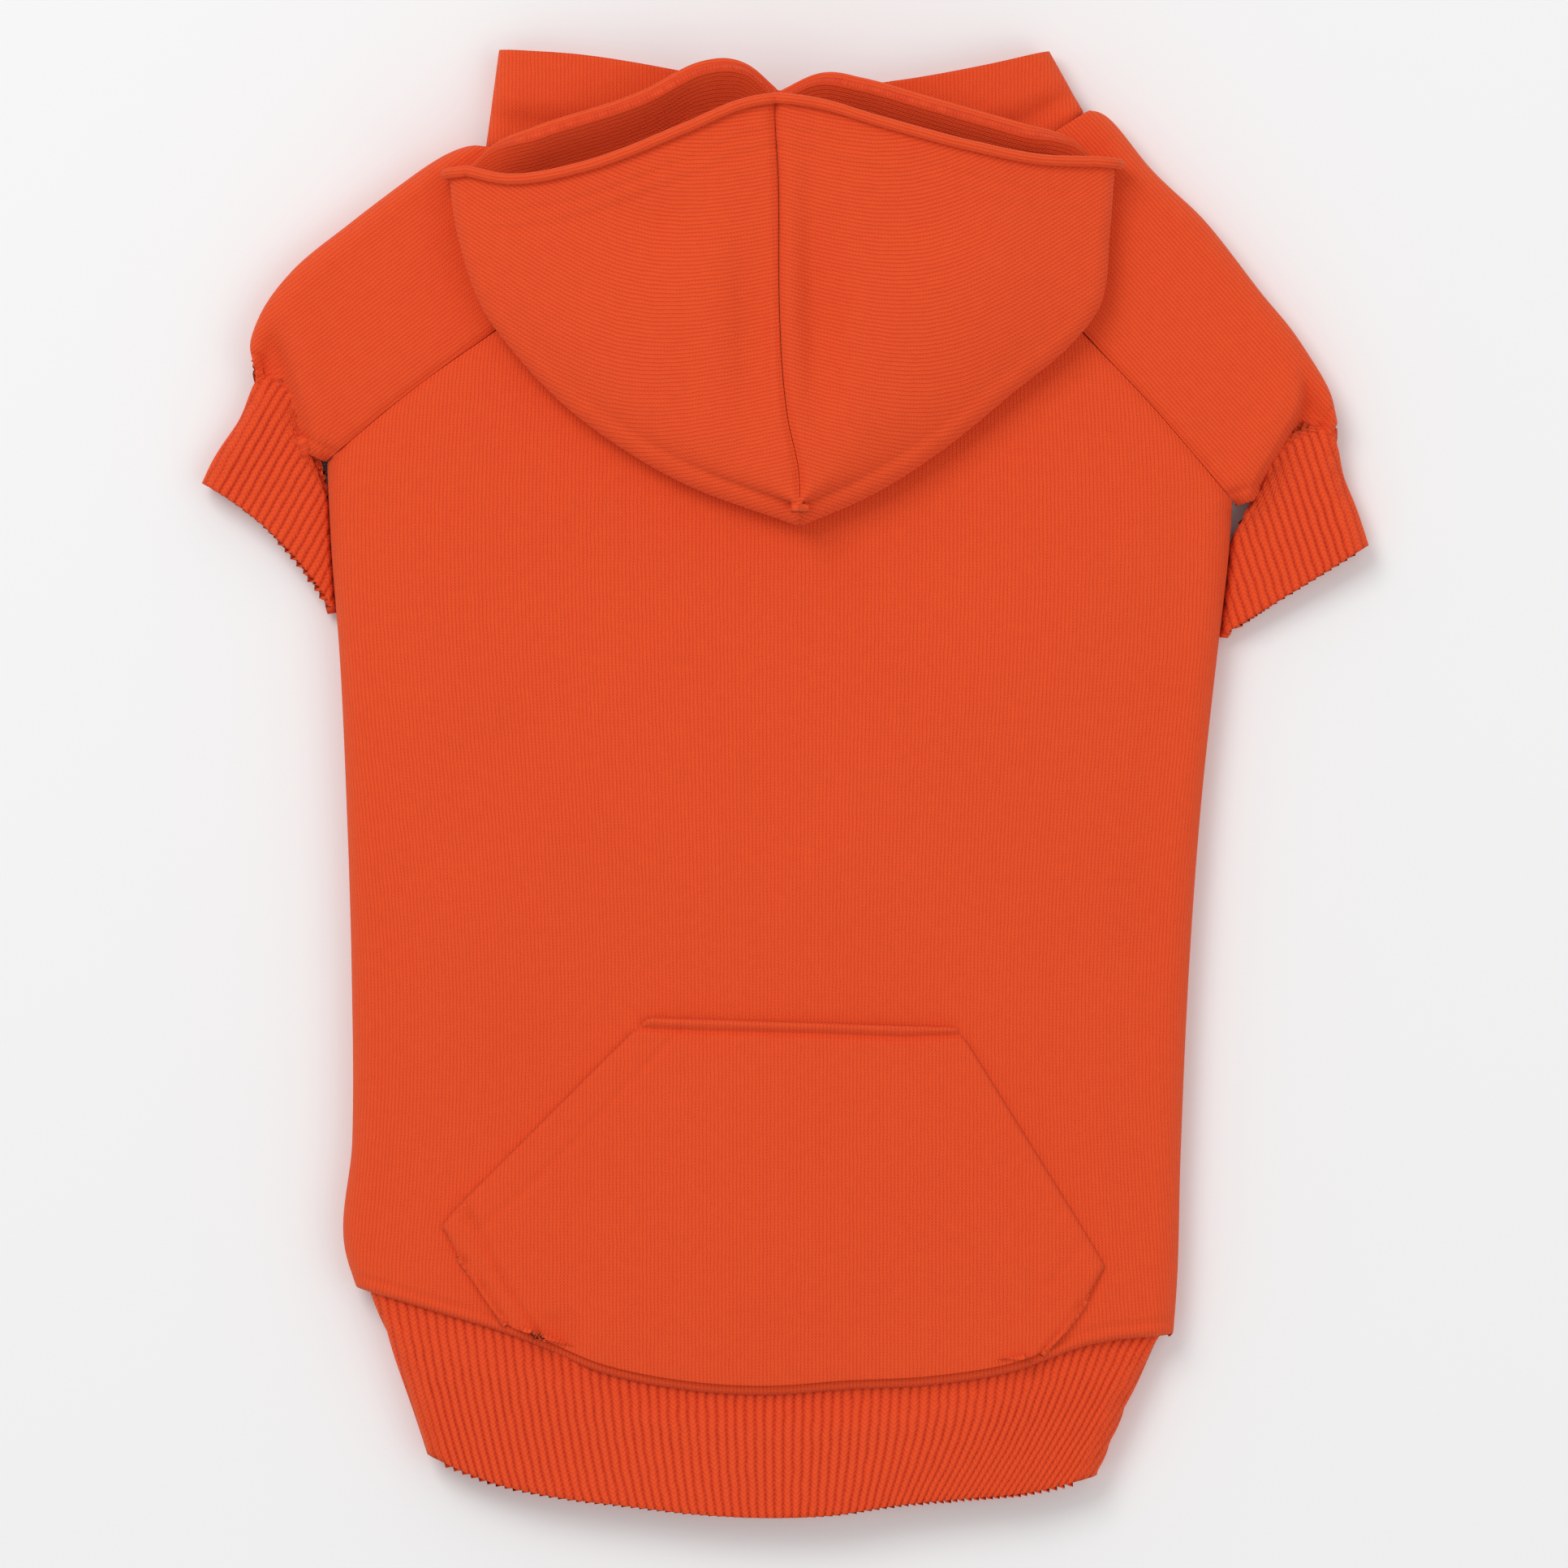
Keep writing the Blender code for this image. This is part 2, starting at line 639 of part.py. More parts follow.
def neck_band():
    """The short neck that the head goes through, under the folded hood."""
    counts = (21, 3, 13)
    outer_rings, inner_rings = [], []
    for along in (-LAP / NECK_RISE, LAP_END, 0.3, 0.6, 1.0):
        lapped = ease(1 - max(along - LAP_END, 0) / NECK_OPENS)
        ends = []
        for side in (LEFT, RIGHT):
            base = shoulder(side, 0)[0] - side * INSIDE
            opening = NECK_OPENING / 2 * (side + NECK_SHIFT)
            ends.append(base + (opening - base) * max(along, 0))
        bottom = INSIDE * ease(1 - (along - LAP_END) / DROP_REACH)
        fold = NECK_FOLD + (SIDE_FOLD - 2 * INSIDE - NECK_FOLD) * lapped

        def level(across, along=along):
            across = np.clip(across, -1, 1)
            base = smooth(NECK, "base", across, by="across")
            top = smooth(NECK, "top", across, by="across")
            return NECK_RISE * (base + (top - base) * along)

        outer_rings.append(band_ring(ends, level, bottom, fold, counts, 0.0))
        inner_rings.append(band_ring(ends, level, bottom, fold, counts, FLEECE))
    return add_tube("neck_band", np.array(outer_rings), np.array(inner_rings), FLEECE_ORANGE)


def hood_seam_x(y):
    return smooth(HOOD_SEAM, "x", -y / HOOD_LENGTH, by="down") * HOOD_WIDTH / 2


def hood_plan(side, rim, q, v):
    """Plan of one layer of a hood half: q from the seam to the fold, v from the rim to the tip."""
    unit_x, unit_y = HOOD_WIDTH / 2, HOOD_LENGTH
    fold_inset = HOOD_FOLD / 2

    def seam(down):
        return np.stack([smooth(HOOD_SEAM, "x", down, by="down") * unit_x, -down * unit_y], axis=-1)

    def fold(at):
        point = place(HOOD_EDGE, side, at, unit_x, unit_y)
        step = 0.01
        ahead = place(HOOD_EDGE, side, at + step, unit_x, unit_y)
        behind = place(HOOD_EDGE, side, at - step, unit_x, unit_y)
        along = (ahead - behind) / np.hypot(*np.moveaxis(ahead - behind, -1, 0))[..., None]
        out = np.stack([along[..., 1], -along[..., 0]], axis=-1) * -side
        return point - out * fold_inset, out

    q_column = np.asarray(q)[:, None]
    rim_start = rim[SIDE_NAMES[side] + "_y"][0]
    rim_line = place(rim, side, q, unit_x, unit_y)
    end_fold, out = fold(np.array([0.0, 1.0, v]))
    corner, tip, edge = end_fold
    rim_end = place(rim, side, 1.0, unit_x, unit_y)
    rim_line = rim_line + (corner - rim_end) * q_column
    low_turn = seam(SEAM_TURN)
    tail = low_turn + (tip - low_turn) * q_column
    top_seam = seam(-rim_start)
    middle = seam(-rim_start + (SEAM_TURN + rim_start) * v)
    flat = (
        (1 - v) * rim_line
        + v * tail
        + (1 - q_column) * middle
        + q_column * edge
        - (1 - q_column) * (1 - v) * top_seam
        - q_column * (1 - v) * corner
        - (1 - q_column) * v * low_turn
        - q_column * v * tip
    )
    return flat, out[2]


def hood_half(side):
    """Half of the hood, a panel folded at the outline with its mouth at the rim."""
    top_q = np.linspace(0, 1, 10)
    low_q = np.linspace(0, 1, 8)
    turn = np.linspace(np.pi / 2, -np.pi / 2, 5)[1:-1]
    origin = np.array([0.0, hood_origin_y()])
    radius = HOOD_FOLD / 2
    points = []
    for v in np.linspace(0, 1, 11) ** 1.15:
        flat, out = hood_plan(side, HOOD_RIM, top_q, v)
        shape = (1 - top_q**HOOD_ROUND) * (1 - HOOD_TIP_DROP * v)
        bumps = dents(HOOD_DENTS, flat[:, 0], flat[:, 1], HOOD_WIDTH / 2, HOOD_LENGTH)
        flat = flat + origin
        base = top_height(flat[:, 0], flat[:, 1], PUFF_REACH) + REST_GAP
        puff = HOOD_PUFF * (shape + bumps * (1 - top_q**4))
        top = np.column_stack([flat, base + HOOD_FOLD + puff])
        fold_flat = flat[-1] + np.outer(np.cos(turn), out) * radius
        fold_z = base[-1] + radius + radius * np.sin(turn)
        fold = np.column_stack([fold_flat, fold_z])
        flat, _ = hood_plan(side, HOOD_FAR_RIM, low_q, v)
        flat = flat + origin
        base = top_height(flat[:, 0], flat[:, 1], PUFF_REACH) + REST_GAP
        curl = RIM_CURL * np.clip(1 - v / CURL_REACH, 0, 1) ** 1.5
        ends = ease((1 - low_q) / CURL_EDGE) * (CURL_LOW + (1 - CURL_LOW) * ease(low_q / CURL_EDGE))
        low = np.column_stack([flat, base + curl * ends])
        row = np.concatenate([top, fold, low[::-1]])
        middle = hood_seam_x(row[:, 1] - origin[1])
        clear = HOOD_SEAM_GAP / 2 * (1 + v**4)
        row[:, 0] = middle + side * np.maximum(side * (row[:, 0] - middle), clear)
        points.append(row)
    points = np.array(points)
    if side == RIGHT:
        points = points[:, ::-1]
    return add_cloth("hood_" + SIDE_NAMES[side], points)


def hood_origin_y():
    """The middle of the hood's rim lies just inside the neck band's free edge."""
    return NECK_RISE * smooth(NECK, "top", 0.0, by="across") - LAP


def pocket():
    """The kangaroo pocket, sewn on the back above the hem."""
    rows = np.array([0.0, 0.11, 0.22, 0.31, 0.40, 0.46, 0.61, 0.77, 0.92, 1.0])
    across = np.linspace(0, 1, 13)
    half = POCKET_WIDTH / 2
    hem_y = body_y(0.0, 0.0)
    points = []
    for along in rows:
        left = place(POCKET, LEFT, along, half, POCKET_LENGTH, straight)
        right = place(POCKET, RIGHT, along, half, POCKET_LENGTH, straight)
        flat = left + across[:, None] * (right - left)
        x = flat[:, 0] + POCKET_SHIFT * half
        share = 2 * (x - side_x(LEFT, 0)) / (side_x(RIGHT, 0) - side_x(LEFT, 0)) - 1
        chord_y = left[1] + across * (right[1] - left[1])
        seam_y = body_y(share, 0) - hem_y + LAP / 2
        low = ease(1 - along / POCKET_CURVE_REACH)
        y = hem_y + chord_y + (seam_y - chord_y) * low
        inside = np.sin(np.pi * across) * np.sin(np.pi * along)
        z = top_height(x, y, PUFF_REACH) + REST_GAP + FLEECE + POCKET_PUFF * inside
        points.append(np.column_stack([x, y, z]))
    return add_cloth("pocket", np.array(points))


def centre_origin(pieces):
    """Moves every piece so that the origin is under the middle of the whole outline."""
    corners = np.array([v.co[:] for piece in pieces for v in piece.data.vertices])
    middle = (corners.min(axis=0) + corners.max(axis=0)) / 2
    for piece in pieces:
        piece.location = (-middle[0], -middle[1], 0.0)


def clear_scene():
    for obj in list(bpy.data.objects):
        bpy.data.objects.remove(obj, do_unlink=True)


def main():
    clear_scene()
    collection = bpy.data.collections.new("Dog hoodie")
    bpy.context.scene.collection.children.link(collection)
    pieces = [back_panel(), belly_panel(), hem_band(), neck_band(), pocket()]
    for side in (LEFT, RIGHT):
        pieces += [sleeve(side), cuff(side), hood_half(side)]
    centre_origin(pieces)


main()
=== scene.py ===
"""Dog hoodie, lying flat with its back up and its hood folded down on the back.

All lengths are in metres. The pieces are worked out with the neckline at y = 0 and the middle of
the back at x = 0, and ORIGIN moves them to the frame's place.
"""

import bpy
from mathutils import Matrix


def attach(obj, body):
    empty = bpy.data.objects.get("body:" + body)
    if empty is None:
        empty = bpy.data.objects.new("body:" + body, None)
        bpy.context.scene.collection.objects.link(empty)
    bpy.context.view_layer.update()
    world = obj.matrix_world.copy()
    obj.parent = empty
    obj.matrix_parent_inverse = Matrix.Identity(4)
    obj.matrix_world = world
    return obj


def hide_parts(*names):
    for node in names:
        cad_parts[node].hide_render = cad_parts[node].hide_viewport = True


bl_info = {
    "name": "Dog hoodie",
    "version": (1, 0, 0),
    "blender": (4, 5, 0),
    "location": "3D View > Sidebar > Hoodie",
    "description": "Builds a small dog's fleece hoodie piece by piece on its solid frame",
    "category": "Object",
}

import bpy
import numpy as np
from mathutils import Vector

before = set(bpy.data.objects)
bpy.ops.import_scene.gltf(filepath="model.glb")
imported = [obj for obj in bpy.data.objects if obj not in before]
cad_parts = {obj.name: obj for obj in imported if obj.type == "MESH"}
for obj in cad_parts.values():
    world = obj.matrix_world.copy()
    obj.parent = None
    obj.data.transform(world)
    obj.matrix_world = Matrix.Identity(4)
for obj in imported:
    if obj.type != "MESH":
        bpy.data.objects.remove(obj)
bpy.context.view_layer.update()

# Driving dimensions
CHEST_WIDTH = 0.2055
BODY_LENGTH = 0.2533
SIDE_WRAP = 0.022
HEM_DROP = 0.0242
HEM_DEPTH = 0.0345
HEM_OPENING = 0.1526
CUFF_DEPTH = 0.0262
NECK_WIDTH = 0.1395
NECK_RISE = 0.0279
NECK_OPENING = 0.1252
HOOD_WIDTH = 0.1508
HOOD_LENGTH = 0.0962
POCKET_WIDTH = 0.1511
POCKET_LENGTH = 0.0857

# Cloth and clearances
FLEECE = 0.0020
RIB_KNIT = 0.0020
SEAM_GAP = 0.0005
HOOD_SEAM_GAP = 0.0010
REST_GAP = 0.0004
LAP = 0.0030

# How far the flattened tubes stand open
SIDE_FOLD = 0.0120
BODY_PUFF = 0.0050
PUFF_REACH = 0.020
CUFF_FOLD = 0.0088
CUFF_INNER_FOLD = 0.0064
HEM_FOLD = 0.0112
NECK_FOLD = 0.0105
HOOD_FOLD = 0.0090
HOOD_PUFF = 0.0095
RIM_CURL = 0.0085
POCKET_PUFF = 0.0012

# Shares of a band's depth over which its lapped end drops to the surface and opens
LAP_END = 0.04
DROP_REACH = 0.3
HEM_OPENS = 0.3
NECK_OPENS = 0.5
CUFF_OPENS = 0.3
CUFF_DROP = 0.35
CUFF_TUCK = 0.75
HEM_LEAN = 1.15
HEM_TAPER = 0.9

# Ribs of the knitted bands
HEM_RIBS = 80
CUFF_RIBS = 23
RIB_HEIGHT = 0.0006

FLEECE_ORANGE = (0.896, 0.089, 0.018, 1.0)
RIB_ORANGE = (0.831, 0.075, 0.016, 1.0)
CLOTH_ROUGHNESS = 0.9

TINY = 1e-9
LEFT, RIGHT = -1, 1
SIDE_NAMES = {LEFT: "left", RIGHT: "right"}


def table(columns, *rows):
    """Rows of shares under named columns."""
    return dict(zip(columns.split(), np.array(rows, float).T))


# Half widths of the body, in shares of half the chest, from the hem seam up to the neckline
BODY_SIDES = table(
    "along left right",
    (0.00, 0.942, 0.866),
    (0.03, 0.965, 0.873),
    (0.13, 0.951, 0.882),
    (0.28, 0.952, 0.900),
    (0.43, 0.963, 0.927),
    (0.58, 0.981, 0.967),
    (0.65, 0.995, 0.987),
    (0.75, 1.008, 1.004),
)
# How much of the puff the back has
BODY_CROWN = table(
    "along rise",
    (-0.15, 0.30),
    (0.00, 0.55),
    (0.20, 0.85),
    (0.50, 1.00),
    (0.75, 0.80),
    (1.00, 0.50),
    (1.15, 0.30),
)
# The seam over the ribbed hem band and the band's depth below it, across the back
HEM = table(
    "across seam depth",
    (-1.0, 0.00, 1.10),
    (-0.8, 0.23, 1.12),
    (-0.6, 0.47, 1.05),
    (-0.4, 0.79, 0.88),
    (-0.2, 0.95, 0.82),
    (0.0, 1.00, 0.81),
    (0.2, 0.95, 0.83),
    (0.4, 0.91, 0.79),
    (0.6, 0.79, 0.83),
    (0.8, 0.53, 0.97),
    (1.0, 0.44, 0.93),
)
# Raglan seams from the neckline down to the underarm: x in half chests, y in body lengths
RAGLAN = table(
    "along left_x left_y right_x right_y",
    (0.0, -0.185, 0.000, 0.355, 0.000),
    (0.3, -0.387, -0.071, 0.499, -0.075),
    (0.6, -0.628, -0.142, 0.666, -0.146),
    (0.8, -0.810, -0.194, 0.821, -0.212),
    (1.0, -1.008, -0.260, 1.004, -0.299),
)
# Folded outer edge of the sleeves, from the neck to the cuff, in the same shares
SHOULDER = table(
    "along left_x left_y right_x right_y",
    (0.0, -0.678, 0.024, 0.690, 0.055),
    (0.2, -0.814, -0.011, 0.800, -0.004),
    (0.4, -0.954, -0.048, 0.936, -0.048),
    (0.6, -1.078, -0.086, 1.058, -0.107),
    (0.8, -1.159, -0.131, 1.154, -0.156),
    (0.9, -1.177, -0.155, 1.210, -0.194),
    (1.0, -1.165, -0.176, 1.230, -0.224),
)
# Outer edge of the cuffs from their seam down to the opening, in cuff depths
CUFF_EDGE = table(
    "along left_x left_y right_x right_y",
    (0.0, 0.00, -0.07, 0.00, -0.05),
    (0.4, -0.14, -0.42, 0.05, -0.44),
    (0.8, -0.38, -0.80, 0.20, -0.82),
    (1.0, -0.47, -0.99, 0.28, -1.06),
)
CUFF_INNER_END = {LEFT: 1.31, RIGHT: 1.14}
SLEEVE_BOW = {LEFT: 0.16, RIGHT: 0.13}
OPENING_BOW = {LEFT: 0.07, RIGHT: 0.0}
UNDER_BOW = -0.22
# Neckline and free edge of the neck band, in shares of its rise
NECK = table(
    "across base top",
    (-1.00, 0.22, 1.00),
    (-0.70, 0.10, 0.95),
    (-0.30, 0.01, 0.80),
    (0.00, 0.00, 0.66),
    (0.45, 0.00, 0.74),
    (0.75, 0.13, 0.86),
    (1.00, 0.50, 0.99),
)
NECK_SHIFT = -0.028
# Edges of the hood, in half widths and lengths of the hood from the middle of its rim
HOOD_SEAM = table(
    "down x",
    (-0.10, -0.010),
    (0.00, -0.020),
    (0.20, -0.010),
    (0.50, -0.007),
    (0.62, 0.000),
    (0.75, 0.018),
    (0.87, 0.050),
    (1.00, 0.054),
)
HOOD_RIM = table(
    "along left_x left_y right_x right_y",
    (0.00, -0.020, 0.000, -0.020, 0.000),
    (0.12, -0.130, -0.018, 0.110, -0.014),
    (0.30, -0.300, -0.072, 0.300, -0.055),
    (0.60, -0.620, -0.163, 0.600, -0.114),
    (0.85, -0.869, -0.192, 0.840, -0.146),
    (1.00, -0.999, -0.172, 1.000, -0.148),
)
HOOD_FAR_RIM = table(
    "along left_x left_y right_x right_y",
    (0.00, -0.010, 0.010, -0.010, 0.010),
    (0.12, -0.110, 0.075, 0.110, 0.052),
    (0.28, -0.255, 0.080, 0.260, 0.040),
    (0.45, -0.440, 0.012, 0.450, 0.000),
    (0.75, -0.771, -0.069, 0.760, -0.065),
    (0.92, -0.930, -0.115, 0.930, -0.100),
    (1.00, -0.999, -0.165, 1.000, -0.145),
)
HOOD_EDGE = table(
    "along left_x left_y right_x right_y",
    (0.00, -0.999, -0.172, 1.000, -0.148),
    (0.15, -0.977, -0.300, 0.985, -0.300),
    (0.32, -0.915, -0.460, 0.955, -0.480),
    (0.45, -0.850, -0.545, 0.850, -0.585),
    (0.58, -0.707, -0.675, 0.700, -0.681),
    (0.72, -0.530, -0.790, 0.500, -0.810),
    (0.88, -0.250, -0.915, 0.260, -0.930),
    (1.00, 0.054, -1.000, 0.054, -1.000),
)
SEAM_TURN = 0.97
CURL_REACH = 0.13
# Dents and ridges of the hood's upper layer: place and reach in half widths and lengths,
# rise in shares of the hood's puff
HOOD_DENTS = table(
    "x y reach_x reach_y rise",
    (0.135, -0.53, 0.06, 0.22, -0.32),
    (-0.115, -0.56, 0.07, 0.26, -0.20),
    (-0.215, -0.45, 0.08, 0.20, 0.16),
    (-0.345, -0.30, 0.12, 0.10, -0.16),
    (0.600, -0.45, 0.25, 0.22, 0.18),
)
# Hollows of the sleeves beside the fold over each cuff: place and reach in half chests
# and body lengths, depth in shares of the side fold
SLEEVE_DENTS = table(
    "x y reach_x reach_y rise",
    (-1.115, -0.168, 0.050, 0.045, -0.15),
    (1.185, -0.228, 0.050, 0.040, -0.15),
    (-0.700, -0.090, 0.120, 0.060, -0.10),
)
# Outline of the pocket from the hem up, in half widths and lengths of the pocket
POCKET = table(
    "along left_x left_y right_x right_y",
    (0.00, -0.722, 0.085, 0.747, 0.060),
    (0.22, -0.857, 0.276, 0.874, 0.184),
    (0.40, -0.995, 0.447, 0.998, 0.341),
    (0.46, -0.942, 0.503, 0.942, 0.425),
    (0.92, -0.450, 0.937, 0.590, 0.924),
    (1.00, -0.372, 1.000, 0.548, 0.974),
)
POCKET_SHIFT = -0.027
HEM_CURVE_REACH = 0.35
POCKET_CURVE_REACH = 0.4
# The hood's upper layer falls off towards its fold and its tip
HOOD_ROUND = 2.2
HOOD_TIP_DROP = 0.45
CURL_EDGE = 0.25
CURL_LOW = 0.45

HALF_CHEST = CHEST_WIDTH / 2
FOLD_RADIUS = SIDE_FOLD / 2
INSIDE = FLEECE + REST_GAP
FOLD_STEPS = np.array([0.0, 0.15, 0.5, 1.0]) * FOLD_RADIUS


def smooth(rows, column, at, by="along"):
    """A column's value at a share, on a smooth curve through the table's rows."""
    x = rows[by]
    y = rows[column]
    slope = np.gradient(y, x)
    at = np.clip(at, x[0], x[-1])
    i = np.clip(np.searchsorted(x, at) - 1, 0, len(x) - 2)
    step = x[i + 1] - x[i]
    t = (at - x[i]) / step
    rise = y[i + 1] - y[i]
    return (
        y[i]
        + step * slope[i] * (t - 2 * t**2 + t**3)
        + rise * (3 * t**2 - 2 * t**3)
        + step * slope[i + 1] * (t**3 - t**2)
    )


def straight(rows, column, at, by="along"):
    """A column's value at a share, on straight runs between the table's rows."""
    return np.interp(at, rows[by], rows[column])


def ease(share):
    """Runs from 0 to 1 with no corner at either end."""
    share = np.clip(share, 0.0, 1.0)
    return share * share * (3 - 2 * share)


def packed_ends(count):
    """Shares from 0 to 1 that lie closer together at both ends."""
    return (1 - np.cos(np.linspace(0, np.pi, count))) / 2


def place(rows, side, at, unit_x, unit_y, read=smooth):
    """A point of a plan curve for one side, in metres."""
    name = SIDE_NAMES[side]
    x = read(rows, name + "_x", at) * unit_x
    y = read(rows, name + "_y", at) * unit_y
    return np.stack([x, y], axis=-1)


def dents(rows, x, y, unit_x, unit_y):
    """Sum of the soft hollows and ridges in a table, in shares of its height."""
    total = np.zeros(np.shape(x))
    for i in range(len(rows["x"])):
        far_x = (x / unit_x - rows["x"][i]) / rows["reach_x"][i]
        far_y = (y / unit_y - rows["y"][i]) / rows["reach_y"][i]
        total = total + rows["rise"][i] * np.exp(-(far_x**2) - far_y**2)
    return total


def side_x(side, along):
    return side * HALF_CHEST * smooth(BODY_SIDES, SIDE_NAMES[side], along)


def body_y(across, along):
    """Rows of the body are level at the chest and follow the hem seam lower down."""
    sag = HEM_DROP * smooth(HEM, "seam", across, by="across")
    near_hem = np.clip(1 - along / HEM_CURVE_REACH, 0, 1)
    return BODY_LENGTH * (along - 1) - sag * near_hem**2


def neck_y(x):
    across = x / (NECK_WIDTH / 2)
    return NECK_RISE * smooth(NECK, "base", across, by="across")


def raglan(side, at):
    return place(RAGLAN, side, at, HALF_CHEST, BODY_LENGTH)


def underarm(side):
    return raglan(side, 1.0)


def underarm_along(side):
    return 1 + underarm(side)[1] / BODY_LENGTH


def shoulder(side, at):
    return place(SHOULDER, side, at, HALF_CHEST, BODY_LENGTH)


def under_raglan(side, at):
    """The raglan seam on the underside ends at the back panel's free edge."""
    inward = np.array([-side * SIDE_WRAP, 0.0])
    at = np.asarray(at)[..., None]
    return raglan(side, at[..., 0]) + inward * at**3


def seam_x(curve, side, y):
    """x of a raglan seam at a height y, for numbers or arrays."""
    points = curve(side, np.linspace(0, 1, 60))
    return np.interp(y, points[::-1, 1], points[::-1, 0])


def fold_top(edge):
    """Height of a folded edge's upper half, at a distance from its outline."""
    inside = np.clip(FOLD_RADIUS - edge, 0, FOLD_RADIUS)
    return FOLD_RADIUS + np.sqrt(FOLD_RADIUS**2 - inside**2)


def fold_bottom(edge):
    return SIDE_FOLD - fold_top(edge)


def rise_at(x, y):
    """How far the back stands above its folded edges."""
    lengthwise = smooth(BODY_CROWN, "rise", 1 + y / BODY_LENGTH)
    crosswise = np.clip(1 - (x / HALF_CHEST) ** 2, 0, 1)
    return BODY_PUFF * lengthwise * crosswise


def top_height(x, y, edge):
    """Upper surface of the body and sleeves, at a distance from the nearest fold."""
    return fold_top(edge) + rise_at(x, y) * ease(edge / PUFF_REACH)


ORIGIN = (-0.00085, 0.13878, 0.0)


def smooth_share(low, high, value):
    return ease((value - low) / (high - low))


def grid_faces(rows, columns, joined, cells):
    index = np.arange(rows * columns).reshape(rows, columns)
    right = np.roll(index, -1, axis=1)
    uv_right = index + 1
    faces = np.stack([index[:-1], right[:-1], right[1:], index[1:]], axis=-1)
    if not joined:
        faces = faces[:, :-1]
    if cells is not None:
        faces = faces[cells]
    return faces.reshape(-1, 4)


def cloth(name, points, knit, wall, material, joined=False, cells=None):
    """A piece of cloth from rows of points on its outer side, with its wall built inwards.

    knit holds each point's place in the flat cloth: across the wales and along them."""
    rows, columns = points.shape[:2]
    faces = grid_faces(rows, columns, joined, cells)
    corner_knit = knit.reshape(-1, 2)[faces]
    if joined:
        wide = knit.shape[1] > columns
        if wide:
            last = knit[:, -1]
            corner_knit = knit[:, :-1].reshape(-1, 2)[faces]
            row = faces[:, 0] // columns
            wrapped = faces[:, 0] % columns == columns - 1
            corner_knit[wrapped, 1] = last[row[wrapped]]
            corner_knit[wrapped, 2] = last[row[wrapped] + 1]
    used, place_of = np.unique(faces, return_inverse=True)
    faces = place_of.reshape(-1, 4)
    mesh = bpy.data.meshes.new(name)
    mesh.from_pydata((points.reshape(-1, 3)[used] + ORIGIN).tolist(), [], faces.tolist())
    layer = mesh.uv_layers.new(name="Knit")
    layer.data.foreach_set("uv", corner_knit.astype(np.float32).ravel())
    mesh.materials.append(material)
    mesh.shade_smooth()
    piece = bpy.data.objects.new(name, mesh)
    bpy.context.scene.collection.objects.link(piece)
    if wall:
        thicken(piece, wall)
    return piece


def thicken(piece, wall):
    solid = piece.modifiers.new("Wall", "SOLIDIFY")
    solid.thickness = wall
    solid.offset = -1
    solid.use_even_offset = False
    bpy.context.view_layer.update()
    done = piece.evaluated_get(bpy.context.evaluated_depsgraph_get())
    thick = bpy.data.meshes.new_from_object(done)
    piece.modifiers.clear()
    piece.data = thick
    thick.name = piece.name


def declare(piece, node, flat):
    """Puts a sheet of cloth in the frame in place of its plain solid."""
    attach(piece, "root")
    if node:
        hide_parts(node)


def trim(piece):
    """Puts a thread or other small trim in the frame."""
    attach(piece, "root")


def resample(points, step):
    """Points at even steps along a plan line."""
    points = np.asarray(points, float)
    lengths = np.hypot(*np.diff(points, axis=0).T)
    at = np.concatenate([[0], np.cumsum(lengths)])
    count = max(int(round(at[-1] / step)), 1)
    want = np.linspace(0, at[-1], count + 1)
    return np.stack([np.interp(want, at, points[:, k]) for k in range(points.shape[1])], axis=-1)


def curve_through(points, step):
    """A smooth plan line through a few points, as even steps."""
    points = np.asarray(points, float)
    lengths = np.hypot(*np.diff(points, axis=0).T)
    at = np.concatenate([[0], np.cumsum(lengths)])
    rows = {"along": at, "x": points[:, 0], "y": points[:, 1]}
    want = np.linspace(0, at[-1], max(int(at[-1] / step), 2))
    fine = np.stack([smooth(rows, "x", want), smooth(rows, "y", want)], axis=-1)
    return resample(fine, step)


def dropped(line, pieces, lift):
    """Plan points set down from above onto the highest of some pieces, with the normals there."""
    spots, normals = [], []
    for x, y in line:
        best = None
        for piece in pieces:
            hit, at, normal, _ = piece.ray_cast(
                Vector((x + ORIGIN[0], y + ORIGIN[1], 0.1)), Vector((0, 0, -1)))
            if hit and (best is None or at.z > best[0].z):
                best = (at.copy(), normal.copy())
        if best is None:
            raise RuntimeError(f"no cloth under the stitch at {x:.4f}, {y:.4f}")
        spots.append(np.array(best[0]) - ORIGIN + np.array([0, 0, lift]))
        normals.append(np.array(best[1]))
    return np.array(spots), np.array(normals)


